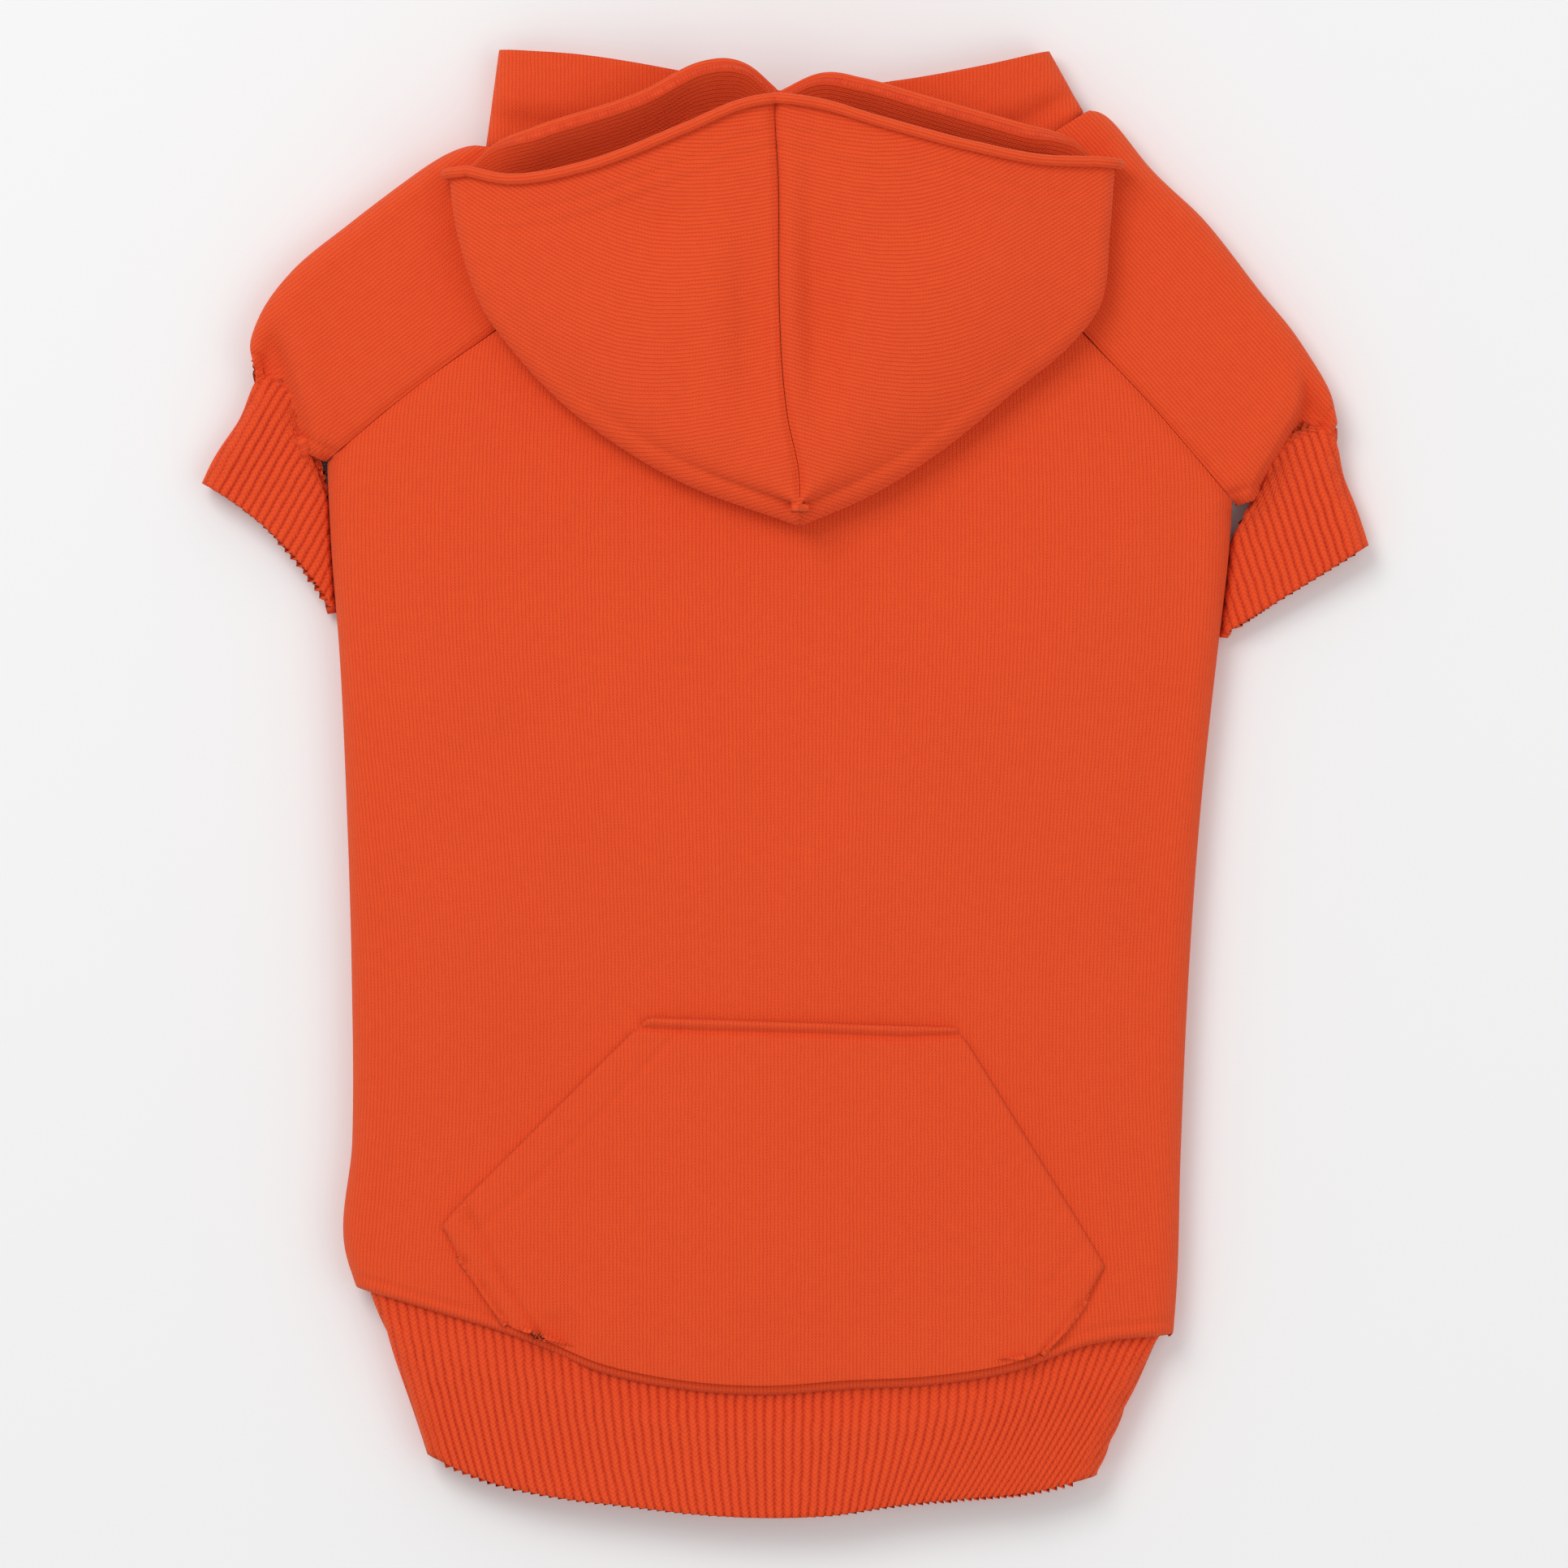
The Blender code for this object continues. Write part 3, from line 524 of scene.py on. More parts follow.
def threads(name, runs, radius, material, sides=5):
    """One mesh of many short threads. Each run is an (n, 3) line and its n normals."""
    vertices, faces = [], []
    for line, normals in runs:
        count = len(line)
        tangents = np.gradient(line, axis=0)
        tangents /= np.linalg.norm(tangents, axis=1)[:, None] + TINY
        across = np.cross(tangents, normals)
        across /= np.linalg.norm(across, axis=1)[:, None] + TINY
        up = np.cross(across, tangents)
        swell = np.sqrt(np.clip(1 - (2 * np.linspace(0, 1, count) - 1) ** 4, 0.04, 1)) * radius
        turn = np.linspace(0, 2 * np.pi, sides, endpoint=False)
        ring = (
            line[:, None]
            + (across[:, None] * np.cos(turn)[:, None] + up[:, None] * np.sin(turn)[:, None])
            * swell[:, None, None]
        )
        start = len(vertices) and sum(len(v) for v in vertices)
        index = start + np.arange(count * sides).reshape(count, sides)
        right = np.roll(index, -1, axis=1)
        quads = np.stack([index[:-1], right[:-1], right[1:], index[1:]], axis=-1).reshape(-1, 4)
        vertices.append(ring.reshape(-1, 3))
        faces += quads.tolist()
        faces.append(index[0][::-1].tolist())
        faces.append(index[-1].tolist())
    mesh = bpy.data.meshes.new(name)
    mesh.from_pydata((np.concatenate(vertices) + ORIGIN).tolist(), [], faces)
    mesh.materials.append(material)
    mesh.shade_smooth()
    piece = bpy.data.objects.new(name, mesh)
    bpy.context.scene.collection.objects.link(piece)
    return piece


def lockstitch(line, pieces, length, gap, sink):
    """Runs for one row of lockstitches along a plan line: short threads that dive at both ends."""
    step = length + gap
    points = resample(line, step / 6)
    spots, normals = dropped(points, pieces, 0.0)
    runs = []
    for first in range(0, len(spots) - 6, 6):
        part = slice(first, first + 6)
        share = np.linspace(0, 1, 6)
        line_3d = spots[part] - normals[part] * (sink * (2 * share - 1) ** 2)[:, None]
        start, end = line_3d[0], line_3d[-1]
        keep = length / step
        middle = (start + end) / 2
        runs.append((middle + (line_3d - middle) * keep, normals[part]))
    return runs
# Fold over each cuff, from the top of the arm to the underarm, in half chests and body lengths
SEAM_CLEAR = 0.0001
CUFF_CREASE = table(
    "along left_x left_y right_x right_y",
    (0.00, -1.120, -0.112, 1.110, -0.160),
    (0.20, -1.092, -0.150, 1.137, -0.182),
    (0.45, -1.062, -0.192, 1.140, -0.205),
    (0.70, -1.040, -0.222, 1.100, -0.238),
    (0.88, -1.020, -0.256, 1.050, -0.272),
    (1.00, -1.002, -0.290, 1.004, -0.310),
)
CREASE_DROP = {LEFT: 0.0042, RIGHT: 0.0050}
CREASE_WIDTH = {LEFT: 0.0042, RIGHT: 0.0026}
RIB_PITCH = 0.00204
CUFF_RIB_PITCH = 0.0020
RIB_DEPTH = 0.0007
RIM_ROLL = 0.00125
# Way that the cuff's ribs run, in plan
CUFF_RIB_RUN = {LEFT: (-0.488, -0.873), RIGHT: (0.304, -0.953)}
# Lean of the hem's ribs: how far a rib's foot lies left of its head, in rib pitches
HEM_LEAN_SHARES = table(
    "across lean bow",
    (-1.0, 2.2, 0.4),
    (-0.7, 1.8, 0.3),
    (-0.4, 0.6, 0.3),
    (0.0, -0.2, 0.1),
    (0.3, -0.2, -0.4),
    (0.6, 1.6, -1.4),
    (0.8, 3.0, -1.2),
    (1.0, 3.4, -0.4),
)


def beside(line, x, y):
    """Distance from a plan line, positive on its left, and the nearest point's share along it."""
    line = np.asarray(line, float)
    x, y = np.asarray(x, float), np.asarray(y, float)
    best = np.full(x.shape, 1e9)
    signed = np.zeros(x.shape)
    share = np.zeros(x.shape)
    lengths = np.hypot(*np.diff(line, axis=0).T)
    before = np.concatenate([[0], np.cumsum(lengths)])
    for k, length in enumerate(lengths):
        start = line[k]
        along = (line[k + 1] - start) / length
        ahead = np.clip((x - start[0]) * along[0] + (y - start[1]) * along[1], 0, length)
        off_x = x - start[0] - ahead * along[0]
        off_y = y - start[1] - ahead * along[1]
        far = np.hypot(off_x, off_y)
        closer = far < best
        best = np.where(closer, far, best)
        turn = np.sign(along[0] * off_y - along[1] * off_x + 1e-12)
        signed = np.where(closer, far * turn, signed)
        share = np.where(closer, (before[k] + ahead) / before[-1], share)
    return signed, share


def groove(distance, width, depth):
    return -depth * np.exp(-((distance / width) ** 2))


def rounded_edge(distance, radius):
    """Drop of a cloth edge that rounds over, at a distance inside it."""
    inside = np.clip(1 - distance / radius, 0, 1)
    return -radius * (1 - np.sqrt(np.clip(1 - inside**2, 0, 1)))


def raglan_line(side):
    return raglan(side, np.linspace(0, 1, 40))


def near_raglan(x, y):
    """Dip of the cloth on both sides of the raglan seams."""
    dip = np.zeros(np.shape(x))
    for side in (LEFT, RIGHT):
        distance, _ = beside(raglan_line(side), x, y)
        dip = dip + groove(distance, 0.0011, 0.0009) + groove(distance, 0.0045, 0.0005)
    return dip


def creases(rows, x, y):
    """Sum of long soft wrinkles. Each runs from one point to another in half chests and body lengths."""
    total = np.zeros(np.shape(x))
    for k in range(len(rows["from_x"])):
        start = np.array([rows["from_x"][k] * HALF_CHEST, rows["from_y"][k] * BODY_LENGTH])
        end = np.array([rows["to_x"][k] * HALF_CHEST, rows["to_y"][k] * BODY_LENGTH])
        distance, share = beside([start, end], x, y)
        fade = np.sin(np.pi * np.clip(share, 0.0, 1.0)) ** 0.7
        total = total + rows["rise"][k] * fade * np.exp(-((distance / rows["width"][k]) ** 2))
    return total


# Soft wrinkles of the back: ends in half chests and body lengths, width and rise in metres
BACK_CREASES = table(
    "from_x from_y to_x to_y width rise",
    (-0.86, -0.30, -0.60, -0.50, 0.010, 0.0010),
    (-0.95, -0.45, -0.80, -0.80, 0.009, -0.0007),
    (0.90, -0.45, 0.78, -0.75, 0.010, -0.0007),
    (0.55, -0.25, 0.80, -0.40, 0.012, 0.0010),
    (-0.30, -0.45, 0.10, -0.62, 0.016, -0.0007),
    (-0.45, -0.30, -0.25, -0.42, 0.014, -0.0010),
    (0.10, -0.38, 0.50, -0.30, 0.014, -0.0012),
    (-0.75, -0.62, -0.55, -0.78, 0.012, 0.0008),
    (-0.50, -1.02, -0.47, -1.09, 0.004, -0.0013),
    (-0.40, -1.01, -0.41, -1.08, 0.005, 0.0008),
)


def hem_line(count=200):
    across = np.linspace(-1, 1, count)
    left, right = side_x(LEFT, 0.0), side_x(RIGHT, 0.0)
    x = left + (right - left) * (across + 1) / 2
    return np.stack([x, body_y(across, 0.0)], axis=-1)


def back_height(x, y, edge):
    """Upper side of the back and sleeves with their soft wrinkles, but no seams."""
    return top_height(x, y, edge) + creases(BACK_CREASES, x, y) * ease(edge / PUFF_REACH)


def body_edge(x, y):
    """Distance to the nearer folded side, or to the sleeve's folded edge above the underarms."""
    far = []
    for side in (LEFT, RIGHT):
        along = np.clip(1 + y / BODY_LENGTH, 0, underarm_along(side))
        beyond = np.maximum(y - underarm(side)[1], 0)
        far.append(np.hypot(x - side_x(side, along), beyond))
    return np.minimum(*far)


def rib_wave(phase):
    """Depth below a rib's crest: wide rounded ribs with narrow valleys between them."""
    return RIB_DEPTH * (1 - np.abs(np.sin(np.pi * phase)) ** 0.55)
def back_piece(look, material):
    """The back: one panel that rounds over both sides and runs under them."""
    turns = {side: underarm_along(side) for side in (LEFT, RIGHT)}
    low = np.concatenate([np.linspace(0, 0.03, 12), np.linspace(0.03, turns[RIGHT], 130)[1:]])
    rows = np.concatenate([low, np.linspace(turns[RIGHT], turns[LEFT], 9)[1:],
                           np.linspace(turns[LEFT], 1, 52)[1:]])
    across = np.linspace(0, 1, 150)[1:-1]
    folded = (1 - np.cos(np.linspace(0, np.pi / 2, 9))) * FOLD_RADIUS
    wrap = np.concatenate([np.linspace(SIDE_WRAP, FOLD_RADIUS, 6), folded[-2:0:-1]])
    points, knit = [], []
    for along in rows:
        y_level = BODY_LENGTH * (along - 1)
        ends = {}
        for side in (LEFT, RIGHT):
            under = along <= turns[side] + TINY
            ends[side] = side_x(side, along) if under else seam_x(raglan, side, y_level)
        inner = ends[LEFT] + FOLD_RADIUS + (ends[RIGHT] - ends[LEFT] - SIDE_FOLD) * across
        top_x = np.concatenate([ends[LEFT] + folded, inner, ends[RIGHT] - folded[::-1]])
        share = 2 * (top_x - ends[LEFT]) / (ends[RIGHT] - ends[LEFT]) - 1
        top_y = body_y(share, along)
        far = []
        for side in (LEFT, RIGHT):
            beyond_y = np.maximum(top_y - underarm(side)[1], 0)
            edge_x = side_x(side, along) if beyond_y[0] == 0 else underarm(side)[0]
            far.append(np.hypot(top_x - edge_x, beyond_y))
        edge = np.minimum(*far)
        top_z = back_height(top_x, top_y, edge) + near_raglan(top_x, top_y)
        above_hem = (top_y - body_y(share, 0.0)) if along < 0.1 else np.full(len(top_x), 1.0)
        top_z = top_z + rounded_edge(above_hem, look.hem_roll) + groove(
            above_hem - look.hem_roll * 1.9, 0.0006, 0.0005)
        top = np.column_stack([top_x, top_y, top_z])
        sides = []
        for side in (LEFT, RIGHT):
            x = ends[side] - side * wrap
            y = np.full(len(wrap), body_y(side, along))
            lift = np.maximum(rounded_edge(np.full(len(wrap), above_hem[0]), look.hem_roll), -0.001)
            sides.append(np.column_stack([x, y, fold_bottom(wrap) - lift * 0.5]))
        row = np.concatenate([sides[0], top, sides[1][::-1]])
        points.append(row)
        step = np.hypot(np.diff(row[:, 0]), np.diff(row[:, 2]))
        around = np.concatenate([[0], np.cumsum(step)])
        middle = len(wrap) + len(top) // 2
        lean = 0.004 * np.sin(along * 7.0) * (row[:, 0] / HALF_CHEST)
        knit.append(np.column_stack([around - around[middle] + row[middle, 0] + lean, row[:, 1]]))
    points, knit = np.array(points), np.array(knit)
    columns = points.shape[1]
    cells = np.ones((len(rows) - 1, columns - 1), bool)
    for side in (LEFT, RIGHT):
        above = rows[:-1] >= turns[side] - TINY
        strip = slice(0, len(wrap)) if side == LEFT else slice(columns - 1 - len(wrap), None)
        cells[np.ix_(above, np.arange(columns - 1)[strip])] = False
    piece = cloth("back_cloth", points, knit, FLEECE, material, cells=cells)
    declare(piece, "back_panel", (0.262, 0.278))
    return piece


def belly_piece(material):
    """The flat underside between the back panel's edges and the sleeves."""
    turns = {side: underarm_along(side) for side in (LEFT, RIGHT)}
    rows = np.concatenate([np.linspace(0, turns[RIGHT], 60), np.linspace(turns[LEFT], 1, 24)])
    points, knit = [], []
    for along in rows:
        y_level = BODY_LENGTH * (along - 1)
        ends = []
        for side in (LEFT, RIGHT):
            if along <= turns[side]:
                x = side_x(side, along) - side * SIDE_WRAP
            else:
                x = seam_x(under_raglan, side, y_level)
            ends.append(x - side * SEAM_GAP)
        x = np.linspace(*ends, 60)
        whole = 2 * (x - side_x(LEFT, along)) / (side_x(RIGHT, along) - side_x(LEFT, along)) - 1
        y = body_y(np.clip(whole, -1, 1), along)
        points.append(np.column_stack([x, y, np.zeros(len(x))]))
        knit.append(np.column_stack([x, y]))
    piece = cloth("belly_cloth", np.array(points)[:, ::-1], np.array(knit)[:, ::-1], FLEECE, material)
    declare(piece, "belly_panel", (0.161, 0.278))


def crease_line(side):
    points = place(CUFF_CREASE, side, CUFF_CREASE["along"], HALF_CHEST, BODY_LENGTH)
    return curve_through(points, 0.001)


def sleeve_piece(side, material):
    """A raglan sleeve folded round the arm, with its end overhung by the fold over the cuff."""
    rows = np.concatenate([np.linspace(0, 0.85, 70), np.linspace(0.85, 1, 40)[1:]])
    corner = underarm(side)
    line = crease_line(side)
    points, knit = [], []
    seam = raglan(side, 0.9) - raglan(side, 0.1)
    seam = seam / np.hypot(*seam)
    off_seam = np.array([seam[1], -seam[0]]) * side
    end_chord = shoulder(side, 1.0) - corner
    share = np.linspace(0, 1, 40)[:, None]
    end_bow = SLEEVE_BOW[side] * 4 * share * (1 - share) * side
    cuff_seam = corner + share * end_chord + end_bow * np.array([end_chord[1], -end_chord[0]])
    for along in rows:
        outer = shoulder(side, along)
        strips = []
        layers = ((raglan(side, along), SLEEVE_BOW[side], 96), (under_raglan(side, along), UNDER_BOW, 40))
        for inner, bow, count in layers:
            chord = outer - inner
            length = np.hypot(*chord)
            spread = 0.35 * packed_ends(count) + 0.65 * np.linspace(0, 1, count)
            at = SEAM_CLEAR / length + (1 - SEAM_CLEAR / length) * spread
            across = np.array([chord[1], -chord[0]]) * side
            bend = bow * along**2 * 4 * at * (1 - at)
            flat = inner + at[:, None] * chord + bend[:, None] * across
            level = neck_y(flat[:, 0]) - flat[:, 1]
            flat[:, 1] += level * (1 - along) ** 6
            strips.append((flat, (1 - at) * length))
        flat, edge = strips[0]
        near_underarm = np.hypot(*(flat - corner).T)
        edge = np.minimum(edge, near_underarm)
        hollow = SIDE_FOLD * dents(SLEEVE_DENTS, flat[:, 0], flat[:, 1], HALF_CHEST, BODY_LENGTH)
        height = back_height(flat[:, 0], flat[:, 1], edge) + hollow * ease(edge / FOLD_RADIUS) * 0.4
        height = height + near_raglan(flat[:, 0], flat[:, 1])
        signed, share = beside(line, flat[:, 0], flat[:, 1])
        outside = signed * side
        strength = smooth_share(0.0, 0.35, share) * (1 - 0.5 * smooth_share(0.75, 1.0, share))
        drop = CREASE_DROP[side] * smooth_share(-0.0004, CREASE_WIDTH[side], outside)
        ridge = 0.0008 * np.exp(-((outside + 0.0035) / 0.003) ** 2)
        height = height - strength * (drop - ridge) * ease(edge / 0.006)
        to_cuff, run = beside(cuff_seam, flat[:, 0], flat[:, 1])
        to_cuff = np.abs(to_cuff)
        gather = 0.00032 * np.sin(2 * np.pi * run * 17) * np.exp(-to_cuff / 0.006)
        height = height + gather * ease(edge / 0.004) + groove(to_cuff - 0.0030, 0.0006, 0.0005)
        height = height + rounded_edge(to_cuff, 0.0016)
        top = np.column_stack([flat, height])
        flat, edge = strips[1]
        under = np.column_stack([flat, fold_bottom(edge)])
        row = np.concatenate([top, under[-2::-1]])
        points.append(row)
        turn = np.cumsum(np.concatenate([[0], np.hypot(*np.diff(row[:, :2], axis=0).T)]))
        wales = row[:, 0] * off_seam[0] + row[:, 1] * off_seam[1]
        beyond = np.arange(len(row)) >= len(top)
        wales = np.where(beyond, 2 * wales[len(top) - 1] - wales, wales)
        knit.append(np.column_stack([wales, row[:, 0] * seam[0] + row[:, 1] * seam[1] + 0 * turn]))
    points, knit = np.array(points), np.array(knit)
    if side == RIGHT:
        points, knit = points[:, ::-1], knit[:, ::-1]
    name = SIDE_NAMES[side]
    piece = cloth(name + "_sleeve_cloth", points, knit, FLEECE, material)
    flat = {LEFT: (0.125, 0.122), RIGHT: (0.125, 0.122)}[side]
    declare(piece, name + "_sleeve", flat)
    return piece
def tube_ring(start, end, bow, bottom, folds, crown, counts, depth):
    """One ring of a flattened tube: over the top from start to end, and back along the bottom.

    folds are the heights of its folded edges, crown(x, y, edge) the rise between them and
    depth(x, y, under) how deep its ribs are cut, for its top or its underside."""
    top_count, fold_count, bottom_count = counts
    along = end - start
    length = np.hypot(*along)
    along = along / length
    out = np.array([-along[1], along[0]])
    radius_start, radius_end = folds[0] / 2, folds[1] / 2
    run = length - radius_start - radius_end

    def plan(at):
        share = at / length
        bend = bow * length * 4 * share * (1 - share)
        return start + at[:, None] * along + bend[:, None] * out

    share = np.linspace(0, 1, top_count)
    at = radius_start + run * share
    flat = plan(at)
    edge = np.minimum(at, length - at)
    cut = depth(flat[:, 0], flat[:, 1], False)
    radius = radius_start + (radius_end - radius_start) * share
    top_z = bottom + 2 * radius + crown(flat[:, 0], flat[:, 1], edge) - cut
    top = np.column_stack([flat, top_z])
    turn = np.linspace(np.pi / 2, -np.pi / 2, fold_count + 2)[1:-1]
    end_lift = crown(*plan(np.array([length - radius_end]))[0], 0.0)
    fold_flat = plan(length - radius_end + radius_end * np.cos(turn))
    cut = depth(fold_flat[:, 0], fold_flat[:, 1], False)
    inset = (1 - cut / radius_end)[:, None]
    fold_flat = plan(np.full(1, length - radius_end)) * (1 - inset) + fold_flat * inset
    end_z = bottom + radius_end + (radius_end + end_lift) * np.sin(turn) * inset[:, 0]
    end_fold = np.column_stack([fold_flat, end_z])
    at = length - radius_end - run * np.linspace(0, 1, bottom_count)
    flat = plan(at)
    base = np.column_stack([flat, bottom + depth(flat[:, 0], flat[:, 1], True)])
    fold_flat = plan(radius_start - radius_start * np.cos(turn))
    cut = depth(fold_flat[:, 0], fold_flat[:, 1], False)
    inset = (1 - cut / radius_start)[:, None]
    fold_flat = plan(np.full(1, radius_start)) * (1 - inset) + fold_flat * inset
    start_z = bottom + radius_start - radius_start * np.sin(turn) * inset[:, 0]
    start_fold = np.column_stack([fold_flat, start_z])
    return np.concatenate([top, end_fold, base, start_fold])


def band_ring(ends, level, bottom, fold, counts, depth):
    """A ring across the whole body, with level(across) giving its y."""
    start, end = np.array([ends[0], 0.0]), np.array([ends[1], 0.0])

    def share(x):
        return 2 * (x - ends[0]) / (ends[1] - ends[0]) - 1

    def crown(x, y, edge):
        return rise_at(x, level(share(x))) * ease(edge / PUFF_REACH)

    def cut(x, y, under):
        return depth(x, share(x), under)

    ring = tube_ring(start, end, 0.0, bottom, (fold, fold), crown, counts, cut)
    ring[:, 1] = level(share(ring[:, 0]))
    return ring


def closed_knit(rows_of_u, rows_of_v):
    """Knit places for a tube, with the first column again at the end."""
    knit = np.stack([rows_of_u, rows_of_v], axis=-1)
    return np.concatenate([knit, knit[:, :1]], axis=1)


def hem_phase(x, across, along):
    """Rib count across the hem band: ribs close up towards its free edge and lean as they lie."""
    middle = (side_x(LEFT, 0) + side_x(RIGHT, 0)) / 2
    gather = 1.08 - 0.17 * np.clip(along, 0, 1)
    lean = smooth(HEM_LEAN_SHARES, "lean", across, by="across") * along
    bow = smooth(HEM_LEAN_SHARES, "bow", across, by="across") * np.sin(np.pi * np.clip(along, 0, 1))
    return (x - middle) / (RIB_PITCH * gather) + lean + bow


def hem_piece(look, material):
    """The ribbed band at the waist, lapped into the body's end."""
    counts = (900, 14, 330)
    middle = (side_x(LEFT, 0) + side_x(RIGHT, 0)) / 2 * HEM_LEAN
    points, u, v = [], [], []
    rows = np.concatenate([[-LAP / HEM_DEPTH, 0.0], np.linspace(0, 1, 24)[1:]])
    for along in rows:
        lapped = ease(1 - max(along - LAP_END, 0) / HEM_OPENS)
        ends = []
        for side in (LEFT, RIGHT):
            top = side_x(side, 0) - side * INSIDE
            opening = middle + side * HEM_OPENING / 2
            ends.append(top + (opening - top) * max(along, 0) ** HEM_TAPER)
        bottom = INSIDE * ease(1 - (along - LAP_END) / DROP_REACH)
        fold = HEM_FOLD + (SIDE_FOLD - 2 * INSIDE - HEM_FOLD) * lapped

        def level(across, along=along):
            across = np.clip(across, -1, 1)
            depth = HEM_DEPTH * smooth(HEM, "depth", across, by="across")
            return body_y(across, 0) - depth * along

        def depth(x, across, under, along=along):
            return rib_wave(hem_phase(x, across, along)) * look.rib_relief

        ring = band_ring(ends, level, bottom, fold, counts, depth)
        points.append(ring)
        share = 2 * (ring[:, 0] - ends[0]) / (ends[1] - ends[0]) - 1
        u.append(hem_phase(ring[:, 0], share, along) * RIB_PITCH)
        v.append(ring[:, 1])
    points = np.array(points)[::-1]
    knit = closed_knit(np.array(u)[::-1], np.array(v)[::-1])
    piece = cloth("hem_cloth", points, knit, RIB_KNIT, material, joined=True)
    declare(piece, "hem_band", (0.365, 0.037))
    return piece


def cuff_piece(side, look, material):
    """A ribbed tube, lapped into the sleeve's end and tucked under the body's side."""
    seam_end = shoulder(side, 1.0)
    corner = underarm(side)
    counts = (330, 10, 110)
    run = np.array(CUFF_RIB_RUN[side])
    run = run / np.hypot(*run)
    across_ribs = np.array([run[1], -run[0]])
    lap_fold = SIDE_FOLD * (1 + SLEEVE_DENTS["rise"].min()) - 2 * INSIDE
    points, u, v = [], [], []
    rows = np.concatenate([[-LAP / CUFF_DEPTH], np.linspace(0.0, 1, 34)])
    for along in rows:
        outer = seam_end + place(CUFF_EDGE, side, max(along, 0), CUFF_DEPTH, CUFF_DEPTH)
        down = CUFF_INNER_END[side] * CUFF_DEPTH * along
        lapped = ease(1 - along / CUFF_OPENS)
        y = corner[1] - max(down, 0.0)
        below = np.array([side_x(side, 1 + y / BODY_LENGTH), y])
        toward_seam = (seam_end - corner) / np.hypot(*(seam_end - corner))
        inner = below + toward_seam * lapped * SIDE_FOLD * CUFF_TUCK
        if along < 0:
            back = np.array([-side, 1.0]) / np.sqrt(2) * LAP
            outer = outer + back + toward_seam * -INSIDE
            inner = inner + back
        bow = (OPENING_BOW[side] + (SLEEVE_BOW[side] - OPENING_BOW[side]) * lapped) * -side
        bottom = INSIDE * ease(1 - along / CUFF_DROP)
        open_fold = CUFF_FOLD + (lap_fold - CUFF_FOLD) * lapped
        ends = (outer, inner)
        folds = (open_fold, CUFF_INNER_FOLD)
        if side == RIGHT:
            ends = ends[::-1]
            folds = folds[::-1]
            bow = -bow

        def depth(x, y, under):
            phase = (x * across_ribs[0] + y * across_ribs[1]) / CUFF_RIB_PITCH
            return rib_wave(phase) * look.rib_relief

        ring = tube_ring(*ends, bow, bottom, folds, lambda x, y, edge: 0 * edge, counts, depth)
        points.append(ring)
        u.append(ring[:, 0] * across_ribs[0] + ring[:, 1] * across_ribs[1])
        v.append(ring[:, 0] * run[0] + ring[:, 1] * run[1])
    points = np.array(points)[::-1]
    knit = closed_knit(np.array(u)[::-1] * RIB_PITCH / CUFF_RIB_PITCH, np.array(v)[::-1])
    name = SIDE_NAMES[side]
    piece = cloth(name + "_cuff_cloth", points, knit, RIB_KNIT, material, joined=True)
    declare(piece, name + "_cuff", (0.100, 0.042))
    return piece


def neck_piece(material):
    """The short neck that the head goes through, under the folded hood."""
    counts = (150, 12, 90)
    points, u, v = [], [], []
    rows = np.concatenate([[-LAP / NECK_RISE], np.linspace(0.0, 1, 30)])
    for along in rows:
        lapped = ease(1 - max(along - LAP_END, 0) / NECK_OPENS)
        ends = []
        for side in (LEFT, RIGHT):
            base = shoulder(side, 0)[0] - side * INSIDE
            opening = NECK_OPENING / 2 * (side + NECK_SHIFT)
            ends.append(base + (opening - base) * max(along, 0))
        bottom = INSIDE * ease(1 - (along - LAP_END) / DROP_REACH)
        fold = NECK_FOLD + (SIDE_FOLD - 2 * INSIDE - NECK_FOLD) * lapped

        def level(across, along=along):
            across = np.clip(across, -1, 1)
            base = smooth(NECK, "base", across, by="across")
            top = smooth(NECK, "top", across, by="across")
            return NECK_RISE * (base + (top - base) * along)

        ring = band_ring(ends, level, bottom, fold, counts, lambda x, across, under: 0 * x)
        points.append(ring)
        u.append(ring[:, 0])
        v.append(ring[:, 1])
    piece = cloth("neck_cloth", np.array(points), closed_knit(np.array(u), np.array(v)), FLEECE,
                  material, joined=True)
    declare(piece, "neck_band", (0.272, 0.031))
    return piece
def hood_seam_x(y):
    return smooth(HOOD_SEAM, "x", -y / HOOD_LENGTH, by="down") * HOOD_WIDTH / 2


def hood_origin_y():
    """The middle of the hood's rim lies just inside the neck band's free edge."""
    return NECK_RISE * smooth(NECK, "top", 0.0, by="across") - LAP


